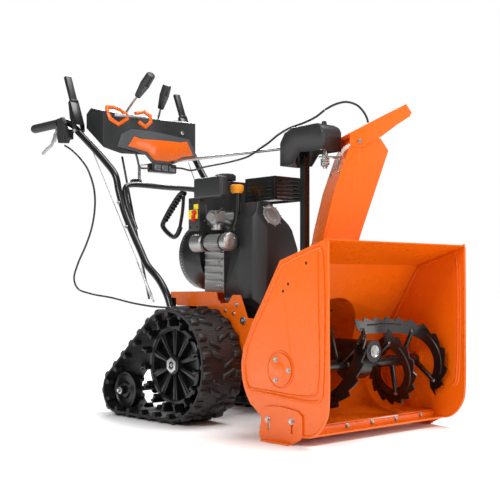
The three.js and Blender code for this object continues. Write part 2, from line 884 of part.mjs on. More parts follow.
// ---- Belt cover ----
const COVER = { face: 482, rear: 652 };
const COVER_FRONT = [
  [-112, 430],
  [-112, 660],
  [-82, 711],
  [-36, 711],
  [28, 640],
  [62, 560],
  [62, 345],
  [-60, 345],
  [-112, 400],
];
function beltCover() {
  const inset = [
    [-109, 200],
    [-109, 659],
    [-80.5, 708],
    [-37.5, 708],
    [25, 638],
    [59, 559],
    [59, 200],
  ];
  const corner = (shift) =>
    plateZ(
      [
        [-130, COVER.face + 51 + shift],
        [-130, COVER.face - 42],
        [-37 + shift, COVER.face - 42],
      ],
      100,
      800,
    );
  const brow = (shift) =>
    plateX(
      [
        [COVER.face - 12 + shift, 592.6],
        [COVER.face + 50.2 + shift, 740],
        [COVER.face - 50, 740],
        [COVER.face - 50, 592.6],
      ],
      -200,
      200,
    );
  const outer = cut(plateY(COVER_FRONT, COVER.face, COVER.rear), corner(0), brow(0));
  const inner = cut(plateY(inset, COVER.face + SHEET, 700), corner(4.5), brow(3.4));
  const slope = plateX(
    [
      [573, 720],
      [646, 430],
      [646, 200],
      [800, 200],
      [800, 720],
    ],
    -200,
    200,
  );
  const farSide = box(-60, 100, 560, 800, 300, 800);
  return cut(outer, inner, slope, farSide);
}
piece("belt_cover", beltCover(), "dark_plastic");

// ---- Engine ----
function engineBlock() {
  const crankcase = box(-104, 96, 662, 760, 421, 596);
  const ribs = [-3, -2, -1, 0, 1, 2].map((i) => box(-110, -100, 668, 754, 500 + i * 24, 508 + i * 24));
  const barrel = box(-30, 92, 690, 758, 590, 684);
  const bore = rod(V(0, 650, CRANK.z), V(0, 690, CRANK.z), 13, 20);
  const filler = tube(
    [V(-98, 603, 742), V(-98, 603, 690), V(-98, 605, 650), V(-98, 628, 612), V(-98, 668, 590)],
    9,
    10,
    12,
  );
  const carburettor = [
    box(-172, -134, 622, 664, 640, 684),
    rod(V(-152, 642, 622), V(-152, 642, 645), 18, 14),
    rod(V(-182, 642, 664), V(-130, 650, 664), 14, 14),
    rod(V(-136, 650, 664), V(-24, 720, 650), 11, 12),
  ];
  return cut(join(crankcase, ...ribs, barrel, filler, ...carburettor), bore);
}
piece("engine_block", engineBlock(), "cast_metal");

piece(
  "blower_housing",
  turned(
    [
      [0, 60],
      [0, 56],
      [64, 56],
      [82, 34],
      [116, 30],
      [119, -84],
      [122, -84],
      [122, 6],
      [119, 34],
      [84, 38],
      [66, 60],
      [0, 60],
    ],
    V(0, 1, 0),
    V(0, 850, CRANK.z),
    30,
  ),
  "black_plastic",
);

const HANDLE_LOOP = [
  [866, 764],
  [886, 768],
  [994, 668],
  [1002, 650],
  [936, 606],
  [914, 612],
  [893, 640],
  [905, 644],
  [925, 624],
  [980, 654],
  [892, 742],
  [878, 742],
];
piece("recoil_handle", plateX(HANDLE_LOOP, -112, -92), "black_plastic");

function carburettorCover() {
  const top = box(-194, -160, 574, 713, 724, 792);
  const panel = box(-188, -126, 690, 746, 621, 730);
  return join(top, panel);
}
piece("carburettor_cover", carburettorCover(), "dark_plastic");
piece(
  "starter_motor",
  join(
    rod(V(-150, 592, 582), V(-150, 716, 582), 27, 24),
    rod(V(-150, 572, 582), V(-150, 596, 582), 30, 24),
    rod(V(-150, 698, 582), V(-150, 756, 576), 30, 24),
    box(-150, -110.5, 700, 750, 560, 600),
  ),
  "cast_metal",
);
piece("engine_key", box(-203, -188.3, 706, 712, 652, 672), "red_plastic");

function fuelTank() {
  const body = box(-50, 148, 690, 846, 690, 792);
  return join(body, rod(V(0, 775, 788), V(0, 775, 803), 26, 24));
}
piece("fuel_tank", fuelTank(), "black_plastic");
piece(
  "fuel_cap",
  turned(
    [
      [0, 826],
      [0, 803.6],
      [38, 803.6],
      [38, 822],
      [34, 826],
      [0, 826],
    ],
    V(0, 0, 1),
    V(0, 775, 0),
    24,
  ),
  "dark_plastic",
);

piece(
  "oil_cap",
  turned(
    [
      [0, 770],
      [0, 742.4],
      [20, 742.4],
      [22, 748],
      [22, 768],
      [20, 770],
      [0, 770],
    ],
    V(0, 0, 1),
    V(-98, 603, 0),
    20,
  ),
  "yellow_plastic",
);

// ---- Muffler and its louvred guard ----
const GUARD = { half: 60, front: 465, rear: 606, low: 715, top: 792 };
piece("muffler", box(-46, 46, 482, 590, 722, 776), "cast_metal");
function mufflerGuard() {
  const { half, front, rear, low, top } = GUARD;
  const shell = cut(
    box(-half, half, front, rear, low, top),
    box(-half + 2.5, half - 2.5, front + 2.5, rear + 10, low - 5, top - 2.5),
  );
  const louvres = [];
  for (let row = 0; row < 5; row++) {
    const z = low + 9 + row * 12.5;
    louvres.push(box(-half + 10, half - 10, front - 5, front + 5, z, z + 5));
  }
  return cut(shell, ...louvres);
}
piece("muffler_guard", mufflerGuard(), "black_paint");

// ---- Tracks ----
// The loop round the drive wheel and the idler: a point and its outward normal at distance s.
function trackPoint(s) {
  const dy = IDLER.y - AXLE.y;
  const dz = IDLER.z - AXLE.z;
  const span = Math.hypot(dy, dz);
  const heading = Math.atan2(dz, dy);
  const lean = Math.acos((TRACK.big - TRACK.small) / span);
  const straight = Math.sqrt(span ** 2 - (TRACK.big - TRACK.small) ** 2);
  const bigArc = (2 * Math.PI - 2 * lean) * TRACK.big;
  const smallArc = 2 * lean * TRACK.small;
  const total = bigArc + smallArc + 2 * straight;
  let left = ((s % total) + total) % total;
  const place = (cy, cz, r, angle, run) => {
    const normal = [Math.cos(angle), Math.sin(angle)];
    return {
      at: [cy + r * normal[0] - run * normal[1], cz + r * normal[1] + run * normal[0]],
      normal,
      total,
    };
  };
  const first = heading + lean;
  if (left < bigArc) return place(AXLE.y, AXLE.z, TRACK.big, first + left / TRACK.big, 0);
  left -= bigArc;
  const second = heading - lean;
  if (left < straight) return place(AXLE.y, AXLE.z, TRACK.big, second, left);
  left -= straight;
  if (left < smallArc) return place(IDLER.y, IDLER.z, TRACK.small, second + left / TRACK.small, 0);
  left -= smallArc;
  return place(IDLER.y, IDLER.z, TRACK.small, first, left);
}

// The loop's outline, moved outwards by `rise` at each lug of the given half width.
function trackOutline(offset, lugs, half, rise) {
  const total = trackPoint(0).total;
  const pitch = total / lugs;
  const outline = [];
  const add = (s, out) => {
    const { at, normal } = trackPoint(s);
    outline.push([at[0] + normal[0] * out, at[1] + normal[1] * out]);
  };
  for (let i = 0; i < lugs; i++) {
    const middle = i * pitch;
    if (rise) {
      add(middle - half, offset);
      add(middle - half + 3, offset + rise);
      add(middle + half - 3, offset + rise);
      add(middle + half, offset);
      add(middle + pitch / 2, offset);
    } else {
      add(middle, offset);
      add(middle + pitch / 2, offset);
    }
  }
  return outline;
}

function trackBelt() {
  const outer = trackOutline(0, 24, 13, TRACK.lug);
  const inner = trackOutline(-TRACK.thick, 24, 0, 0);
  const band = plateX(outer, -TRACK.outer, -TRACK.inner, [inner]);
  const total = trackPoint(0).total;
  const lugs = [];
  const rows = [
    [-TRACK.outer + 2, -TRACK.outer + 34],
    [-TRACK.inner - 34, -TRACK.inner - 2],
  ];
  for (let i = 0; i < 20; i++) {
    const { at, normal } = trackPoint(((i + 0.5) * total) / 20);
    const along = [-normal[1], normal[0]];
    const corner = (run, depth) => [
      at[0] - normal[0] * depth + along[0] * run,
      at[1] - normal[1] * depth + along[1] * run,
    ];
    const section = [corner(-9, 5), corner(-6, 21), corner(6, 21), corner(9, 5)];
    for (const [x0, x1] of rows) lugs.push(plateX(section, x0, x1));
  }
  return join(band, ...lugs);
}
pair("track_belt", trackBelt(), "rubber");

function driveWheel() {
  const outerFace = -296;
  const hub = turned(
    [
      [0, -308],
      [24, -308],
      [30, -298],
      [32, -170],
      [0, -170],
    ],
    V(1, 0, 0),
    V(0, AXLE.y, AXLE.z),
    20,
  );
  const windows = [];
  const spokes = 10;
  for (let i = 0; i < spokes; i++) {
    const middle = (360 * (i + 0.5)) / spokes;
    windows.push([
      ...arc(AXLE.y, AXLE.z, 48, middle - 5, middle + 5, 1),
      ...arc(AXLE.y, AXLE.z, 110, middle + 11, middle - 11, 2),
    ]);
  }
  const disc = plateX(circle(128, 30, AXLE.y, AXLE.z), outerFace, outerFace + 10, windows);
  const drum = plateX(
    circle(128, 30, AXLE.y, AXLE.z),
    outerFace,
    -185,
    [circle(121, 30, AXLE.y, AXLE.z)],
  );
  const web = plateX(circle(127, 30, AXLE.y, AXLE.z), -240, -236);
  const bars = [];
  const teeth = 15;
  for (let i = 0; i < teeth; i++) {
    const bar = box(-TRACK.outer + 3, -185, 124, 152, -7, 7);
    bars.push(bar.rotateX(degrees((360 * i) / teeth)).translate(0, AXLE.y, AXLE.z));
  }
  const axle = rod(V(-250, AXLE.y, AXLE.z), V(-50, AXLE.y, AXLE.z), AXLE.radius, 20);
  return join(hub, disc, drum, web, axle, ...bars);
}
pair("drive_wheel", driveWheel(), "black_plastic");

const IDLER_AXLE = 9;
function idlerWheel() {
  const profile = [
    [IDLER_AXLE + 0.4, -284],
    [26, -284],
    [30, -276],
    [52, -276],
    [56, -282],
    [IDLER.radius, -282],
    [IDLER.radius, -254],
    [56, -254],
    [52, -260],
    [IDLER_AXLE + 0.4, -260],
    [IDLER_AXLE + 0.4, -284],
  ];
  return turned(profile, V(1, 0, 0), V(0, IDLER.y, IDLER.z), 24);
}
pair("idler_wheel", idlerWheel(), "black_plastic");

function trackArm() {
  const line = around(AXLE.y, AXLE.z, 34, IDLER.y, IDLER.z, 22, 10);
  const plate = plateX(line, -155, -141);
  const bore = rod(V(-160, AXLE.y, AXLE.z), V(-135, AXLE.y, AXLE.z), AXLE.radius + GAP, 20);
  const pin = rod(V(-300, IDLER.y, IDLER.z), V(-142, IDLER.y, IDLER.z), IDLER_AXLE, 16);
  const head = rod(V(-298, IDLER.y, IDLER.z), V(-286, IDLER.y, IDLER.z), 15, 6);
  return cut(join(plate, pin, head), bore);
}
// The right arm carries the tube that ties the two arms together.
const TIE = { y: 850, z: 129, radius: 12 };
const tie = rod(V(-142, TIE.y, TIE.z), V(141 - GAP, TIE.y, TIE.z), TIE.radius, 16);
piece("track_arm_right", join(trackArm(), tie), "black_paint");
piece("track_arm_left", mirrored(trackArm()), "black_paint");

// ---- Cables held by the machine along their whole length ----
const MODE_CABLE = [
  V(-274, 1372, 962),
  V(-275, 1330, 944),
  V(-275, 1267, 905),
  V(-278, 1209, 857),
  V(-280, 1167, 785),
  V(-282, 1158, 724),
  V(-284, 1174, 650),
  V(-284, 1213, 586),
  V(-282, 1270, 519),
  V(-278, 1302, 465),
  V(-270, 1292, 431),
  V(-255, 1235, 412),
  V(-235, 1120, 397),
  V(-215, 1027, 380),
  V(-200, 930, 369),
  V(-194, 846.5, 366),
];
piece("mode_cable", tube(MODE_CABLE, 3.5, 8, 44), "rubber");

const DEFLECTOR_CABLE = [
  V(40, 1138, 893),
  V(40, 1112, 882),
  V(40, 1067, 875),
  V(40, 1014, 863),
  V(36, 931, 868),
  V(28, 800, 871),
  V(8, 700, 873),
  V(-10, 640, 876),
  V(-16, 580, 894),
  V(-14, 540, 910),
  V(-12, 500, 930),
  V(-8, 450, 947),
  V(-4, 390, 957),
  V(-1, 340, 970),
  V(0, 305, 986),
];
piece("deflector_cable_rear", tube(DEFLECTOR_CABLE, 3.5, 8, 34), "rubber");
const DEFLECTOR_CABLE_FRONT = [
  V(0, 301, 988),
  V(30, 285, 1006),
  V(60, 266, 1014),
  V(88, 248, 1005),
  V(106, 236, 984),
  V(115, 230, 964),
  V(118, 228.4, 951.5),
];
piece("deflector_cable_front", tube(DEFLECTOR_CABLE_FRONT, 3.5, 8, 20), "rubber");

const CLUTCH_CABLE = { top: V(-224, 1258, 930), bottom: V(-192, 930, 384) };
function clutchCable() {
  const { top, bottom } = CLUTCH_CABLE;
  const sleeveTop = top.clone().lerp(bottom, 0.76);
  return join(rod(top, bottom, 2, 8), rod(sleeveTop, bottom.clone().lerp(top, 0.02), 6, 10));
}
pair("clutch_cable", clutchCable(), "cast_metal");

export default machine;
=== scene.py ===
"""Looks for a two stage snowblower on rubber tracks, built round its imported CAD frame.

Sizes are design millimetres: x runs across the machine with the operator's right at -x, y runs back from
the auger housing's front edge, and z is up from the ground. A Shape turns them into metres in the row frame.
"""

import json
import logging
import math
from dataclasses import dataclass, field
from enum import Enum
from typing import Any, Callable, Iterable, Sequence

import bmesh
import bpy
from mathutils import Matrix, Vector

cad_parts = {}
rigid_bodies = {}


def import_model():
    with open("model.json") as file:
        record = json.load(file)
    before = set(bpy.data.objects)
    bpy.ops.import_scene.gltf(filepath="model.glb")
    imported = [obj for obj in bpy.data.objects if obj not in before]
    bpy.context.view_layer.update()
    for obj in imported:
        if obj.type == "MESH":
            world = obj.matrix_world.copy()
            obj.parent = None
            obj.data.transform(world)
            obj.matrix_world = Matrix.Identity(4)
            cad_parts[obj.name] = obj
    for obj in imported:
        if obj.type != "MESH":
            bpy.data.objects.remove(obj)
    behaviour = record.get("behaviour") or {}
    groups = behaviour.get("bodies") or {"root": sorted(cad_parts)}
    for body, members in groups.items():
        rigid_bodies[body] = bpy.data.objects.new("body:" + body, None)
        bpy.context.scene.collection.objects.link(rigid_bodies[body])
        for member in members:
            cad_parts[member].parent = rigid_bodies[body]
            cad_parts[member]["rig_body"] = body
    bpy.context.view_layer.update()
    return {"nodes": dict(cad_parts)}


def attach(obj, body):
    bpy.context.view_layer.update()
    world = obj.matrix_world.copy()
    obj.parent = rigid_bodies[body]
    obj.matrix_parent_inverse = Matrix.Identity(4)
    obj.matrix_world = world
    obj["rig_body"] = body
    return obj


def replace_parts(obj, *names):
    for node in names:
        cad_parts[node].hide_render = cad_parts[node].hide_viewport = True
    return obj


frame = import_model()

logging.basicConfig(level=logging.INFO, format="%(message)s")
log = logging.getLogger("snowblower")

FOOTPRINT_MIDDLE = 811.5  # y of the row frame's origin, in design millimetres
TO_ROW = Matrix.Diagonal((0.001, 0.001, 0.001, 1.0)) @ Matrix.Translation((0, -FOOTPRINT_MIDDLE, 0))
SMOOTH_ANGLE = math.radians(38)

Point = Sequence[float]


class Body(str, Enum):
    """The moving bodies that pieces ride on."""

    CHASSIS = "chassis"
    AUGER = "auger"
    IMPELLER = "impeller"
    ENGINE_OUTPUT = "engine_output"
    CHUTE = "chute"
    DEFLECTOR = "deflector"
    CRANK = "chute_crank"
    SPEED_LEVER = "speed_lever"
    SHIFT_ROD = "shift_rod"
    DEFLECTOR_LEVER = "deflector_lever"
    MODE_TRIGGER = "mode_trigger"
    TRACK_FRAME = "track_frame"
    RECOIL = "recoil_handle"
    FUEL_CAP = "fuel_cap"
    OIL_CAP = "oil_cap"
    KEY = "engine_key"


class Side(Enum):
    """The operator's right or left, as the sign of x."""

    RIGHT = -1
    LEFT = 1

    @property
    def word(self) -> str:
        """The side's name as the CAD nodes end with it."""
        return self.name.lower()


class Plane(Enum):
    """The two axes that an outline is drawn on, and the one it is extruded along."""

    YZ = (1, 2, 0)
    XZ = (0, 2, 1)
    XY = (0, 1, 2)


# ---------------------------------------------------------------- finishes


def linear(colour: str) -> tuple[float, float, float, float]:
    """Turns an sRGB hex colour into linear RGBA.

    Args:
        colour: six hex digits after a '#'.

    Returns:
        Linear red, green, blue and an alpha of 1.
    """
    channels = [int(colour[i : i + 2], 16) / 255 for i in (1, 3, 5)]
    turned = [c / 12.92 if c <= 0.04045 else ((c + 0.055) / 1.055) ** 2.4 for c in channels]
    return (turned[0], turned[1], turned[2], 1.0)


def add_node(
    tree: bpy.types.NodeTree, kind: str, settings: dict[str, Any], inputs: dict[Any, Any]
) -> bpy.types.Node:
    """Adds a node, with its settings, constants and links.

    Args:
        tree: the material's node tree.
        kind: the node's type name.
        settings: attributes to set on the node.
        inputs: socket name or index to a constant, or to the output socket that feeds it.

    Returns:
        The new node.
    """
    node = tree.nodes.new(kind)
    for name, value in settings.items():
        setattr(node, name, value)
    for name, value in inputs.items():
        if isinstance(value, bpy.types.NodeSocket):
            tree.links.new(value, node.inputs[name])
        else:
            node.inputs[name].default_value = value
    return node


@dataclass(frozen=True)
class Finish:
    """A real surface: its two tones, its gloss and the grain that its making leaves.

    Grain and patch sizes are real millimetres; the grain of paint and plastic is drawn coarser than
    life, so that it shows at the size the machine is seen.
    """

    name: str
    slot: str
    tone: str
    deep_tone: str
    roughness: float
    metallic: float = 0.0
    ior: float = 1.5
    coat: float = 0.0
    grain_mm: float = 1.6
    grain_depth_mm: float = 0.05
    patch_mm: float = 140.0
    gloss_spread: float = 0.05
    stretch: tuple[float, float, float] = (1.0, 1.0, 1.0)

    def material(self) -> bpy.types.Material:
        """Makes the finish's material, or takes the one already made.

        Returns:
            The material.
        """
        made = bpy.data.materials.get(self.name)
        if made is not None:
            return made
        made = bpy.data.materials.new(self.name)
        made.use_nodes = True
        made.diffuse_color = linear(self.tone)
        tree = made.node_tree
        tree.nodes.clear()
        coordinates = add_node(tree, "ShaderNodeTexCoord", {}, {})
        placed = add_node(
            tree, "ShaderNodeMapping", {}, {"Vector": coordinates.outputs["Object"], "Scale": self.stretch}
        )
        patches = add_node(
            tree,
            "ShaderNodeTexNoise",
            {},
            {"Vector": placed.outputs[0], "Scale": 1000 / self.patch_mm, "Detail": 4.0, "Roughness": 0.6},
        )
        grain = add_node(
            tree,
            "ShaderNodeTexNoise",
            {},
            {"Vector": placed.outputs[0], "Scale": 1000 / self.grain_mm, "Detail": 2.0, "Roughness": 0.5},
        )
        tones = add_node(
            tree,
            "ShaderNodeMix",
            {"data_type": "RGBA"},
            {0: patches.outputs[0], 6: linear(self.tone), 7: linear(self.deep_tone)},
        )
        gloss = add_node(
            tree,
            "ShaderNodeMapRange",
            {},
            {
                "Value": patches.outputs[0],
                "From Min": 0.3,
                "From Max": 0.7,
                "To Min": self.roughness - self.gloss_spread,
                "To Max": self.roughness + self.gloss_spread,
            },
        )
        bump = add_node(
            tree,
            "ShaderNodeBump",
            {},
            {
                "Height": self.relief(tree, placed, grain),
                "Strength": 1.0,
                "Distance": self.grain_depth_mm / 1000,
            },
        )
        constants: dict[str, Any] = {"Metallic": self.metallic, "Coat Weight": self.coat}
        if not self.metallic:
            constants["IOR"] = self.ior
        if self.coat:
            constants["Coat Roughness"] = 0.12
        shader = add_node(
            tree,
            "ShaderNodeBsdfPrincipled",
            {},
            {
                "Base Color": tones.outputs[2],
                "Roughness": gloss.outputs[0],
                "Normal": bump.outputs[0],
                **constants,
            },
        )
        add_node(tree, "ShaderNodeOutputMaterial", {}, {"Surface": shader.outputs[0]})
        return made

    def relief(
        self, tree: bpy.types.NodeTree, placed: bpy.types.Node, grain: bpy.types.Node
    ) -> bpy.types.NodeSocket:
        """Gives the height that the bump follows; a plain finish follows its grain."""
        return grain.outputs[0]


@dataclass(frozen=True)
class CellFinish(Finish):
    """A finish whose relief is small cells, such as moulded stipple or sand-cast metal."""

    cell_mm: float = 3.0

    def relief(
        self, tree: bpy.types.NodeTree, placed: bpy.types.Node, grain: bpy.types.Node
    ) -> bpy.types.NodeSocket:
        """Adds rounded cells to the grain.

        Args:
            tree: the material's node tree.
            placed: the node that gives the pattern's coordinates.
            grain: the fine noise.

        Returns:
            The height socket.
        """
        cells = add_node(
            tree,
            "ShaderNodeTexVoronoi",
            {"feature": "SMOOTH_F1"},
            {"Vector": placed.outputs[0], "Scale": 1000 / self.cell_mm, "Smoothness": 0.6},
        )
        both = add_node(
            tree,
            "ShaderNodeMath",
            {"operation": "ADD"},
            {0: cells.outputs["Distance"], 1: grain.outputs[0]},
        )
        return both.outputs[0]


@dataclass(frozen=True)
class RibbedFinish(Finish):
    """A rubber whose surface carries fine moulded lines across the tread."""

    line_mm: float = 5.0

    def relief(
        self, tree: bpy.types.NodeTree, placed: bpy.types.Node, grain: bpy.types.Node
    ) -> bpy.types.NodeSocket:
        """Adds fine lines, which run across the machine, to the grain.

        Args:
            tree: the material's node tree.
            placed: the node that gives the pattern's coordinates.
            grain: the fine noise.

        Returns:
            The height socket.
        """
        lines = add_node(
            tree,
            "ShaderNodeTexWave",
            {"wave_type": "BANDS", "bands_direction": "Z"},
            {"Vector": placed.outputs[0], "Scale": 314 / self.line_mm, "Distortion": 0.6},
        )
        both = add_node(
            tree, "ShaderNodeMath", {"operation": "ADD"}, {0: lines.outputs["Fac"], 1: grain.outputs[0]}
        )
        return both.outputs[0]


# Baked powder coat on sheet steel: a glossy skin with a faint orange peel.
ORANGE = Finish(
    "orange_powder_coat", "orange_paint", "#f06a04", "#e86202", 0.28,
    coat=0.12, grain_mm=2.2, grain_depth_mm=0.04
)
# The same powder in black on tube and castings: satin, so edges catch a soft line of light.
BLACK_COAT = Finish(
    "black_powder_coat", "black_paint", "#0b0b0b", "#111111", 0.28, coat=0.15,
    grain_mm=1.8, grain_depth_mm=0.04
)
# Moulded ABS, dark grey with a spark-eroded stipple that scatters the light.
DARK_ABS = CellFinish(
    "moulded_dark_abs", "dark_plastic", "#212223", "#292a2b", 0.4,
    grain_mm=1.2, grain_depth_mm=0.05, cell_mm=2.4
)
GREY_ABS = CellFinish(
    "moulded_grey_abs", "dark_plastic", "#4b4e51", "#434649", 0.46,
    grain_mm=1.2, grain_depth_mm=0.05, cell_mm=2.4
)
# Glass-filled nylon, nearly black, a little waxy.
BLACK_NYLON = CellFinish(
    "glass_filled_nylon", "black_plastic", "#0d0d0d", "#141414", 0.34,
    grain_mm=1.4, grain_depth_mm=0.05, cell_mm=3.0
)
# Vulcanised track rubber: matt, mottled by its mould, with fine lines across the tread; the brown in its
# lighter tone is a painted reflection of the orange housing.
TREAD_RUBBER = RibbedFinish(
    "vulcanised_tread_rubber",
    "rubber",
    "#121111",
    # brown tint: painted reflection of the orange housing
    "#1f1c1b",
    0.5,
    ior=1.52,
    grain_mm=4.0,
    grain_depth_mm=0.5,
    patch_mm=45,
    gloss_spread=0.1,
)
# Soft foam on the grips: even and matt.
SOFT_RUBBER = Finish(
    "soft_rubber", "rubber", "#1c1c1d", "#232324", 0.62, ior=1.52,
    grain_mm=1.5, grain_depth_mm=0.08, patch_mm=60
)
# PVC sheath, which stands in for the auger belt's rubber too: black and a little shiny.
CABLE_SHEATH = Finish("pvc_cable_sheath", "rubber", "#0d0d0d", "#131313", 0.4, ior=1.53, grain_mm=2.0)
# Sand-cast aluminium: bright grey, pitted.
CAST_ALUMINIUM = CellFinish(
    "sand_cast_aluminium",
    "cast_metal",
    "#b9b9b7",
    "#9b9b99",
    0.42,
    metallic=1.0,
    grain_mm=1.5,
    grain_depth_mm=0.25,
    patch_mm=40,
    cell_mm=2.6,
)
# Bright zinc plate over steel, drawn along the rod, so that its marks run lengthwise.
ZINC_STEEL = Finish(
    "zinc_plated_steel",
    "bright_steel",
    "#c9c9c7",
    "#aeaeac",
    0.26,
    metallic=1.0,
    grain_mm=1.0,
    grain_depth_mm=0.03,
    patch_mm=30,
    stretch=(1.0, 0.15, 1.0),
)
# Phosphated steel: a dull dark grey metal.
DARK_STEEL = Finish(
    "phosphated_steel", "bright_steel", "#5c5a57", "#48464a", 0.4, metallic=1.0, grain_mm=1.4, patch_mm=30
)
# The stippled ABS again, coloured through for the oil cap.
YELLOW_ABS = CellFinish("moulded_yellow_abs", "yellow_plastic", "#f3a012", "#ea9208", 0.42, cell_mm=2.4)
# Blank vinyl label: flat, even and a cooler yellow.
YELLOW_LABEL = Finish("yellow_vinyl_label", "yellow_plastic", "#e9d51c", "#dfca14", 0.38)
# Polished red ABS on the key and the knob: a clean highlight.
RED_ABS = Finish("moulded_red_abs", "red_plastic", "#d8261c", "#c81d14", 0.35, coat=0.3)
# Metallic paint: a soft silver, not a mirror.
SILVER_PRINT = Finish(
    "silver_metallic_paint", "cast_metal", "#c6c8c9", "#b4b6b8", 0.34, metallic=0.7, grain_mm=1.0, patch_mm=30
)
# Clear plastic over an unlit lamp: glossy, and grey because nothing shines behind it.
LAMP_LENS = Finish(
    "clear_lamp_lens", "cast_metal", "#6b7073", "#565b5e", 0.12, ior=1.49, coat=0.6, patch_mm=12
)


# ---------------------------------------------------------------- shapes


def smooth_path(points: Sequence[Point], per_span: int = 8) -> list[Vector]:
    """Follows a centripetal Catmull-Rom curve through points, as the CAD's tubes do.

    Args:
        points: the points that the curve passes.
        per_span: samples between two neighbouring points.

    Returns:
        The samples, in the points' own units.
    """
    way = [Vector(p) for p in points]
    way = [2 * way[0] - way[1], *way, 2 * way[-1] - way[-2]]
    samples = []
    for i in range(1, len(way) - 2):
        p0, p1, p2, p3 = way[i - 1 : i + 3]
        steps = [max((b - a).length, 1e-9) ** 0.5 for a, b in ((p0, p1), (p1, p2), (p2, p3))]
        t0, t1, t2, t3 = 0.0, steps[0], steps[0] + steps[1], sum(steps)
        for k in range(per_span):
            t = t1 + (t2 - t1) * k / per_span
            a1 = p0 * ((t1 - t) / (t1 - t0)) + p1 * ((t - t0) / (t1 - t0))
            a2 = p1 * ((t2 - t) / (t2 - t1)) + p2 * ((t - t1) / (t2 - t1))
            a3 = p2 * ((t3 - t) / (t3 - t2)) + p3 * ((t - t2) / (t3 - t2))
            b1 = a1 * ((t2 - t) / (t2 - t0)) + a2 * ((t - t0) / (t2 - t0))
            b2 = a2 * ((t3 - t) / (t3 - t1)) + a3 * ((t - t1) / (t3 - t1))
            samples.append(b1 * ((t2 - t) / (t2 - t1)) + b2 * ((t - t1) / (t2 - t1)))
    samples.append(way[-2].copy())
    return samples


def arc(centre: Point, radius: float, start: float, end: float, steps: int) -> list[tuple[float, float]]:
    """Gives points on a circular arc, from start to end in degrees."""
    turns = [math.radians(start + (end - start) * i / steps) for i in range(steps + 1)]
    return [(centre[0] + radius * math.cos(t), centre[1] + radius * math.sin(t)) for t in turns]


def facing(direction: Vector, place: Vector) -> Matrix:
    """Gives the matrix that turns +Z to a direction and moves the origin to a place."""
    turn = Vector((0, 0, 1)).rotation_difference(direction.normalized())
    return Matrix.Translation(place) @ turn.to_matrix().to_4x4()


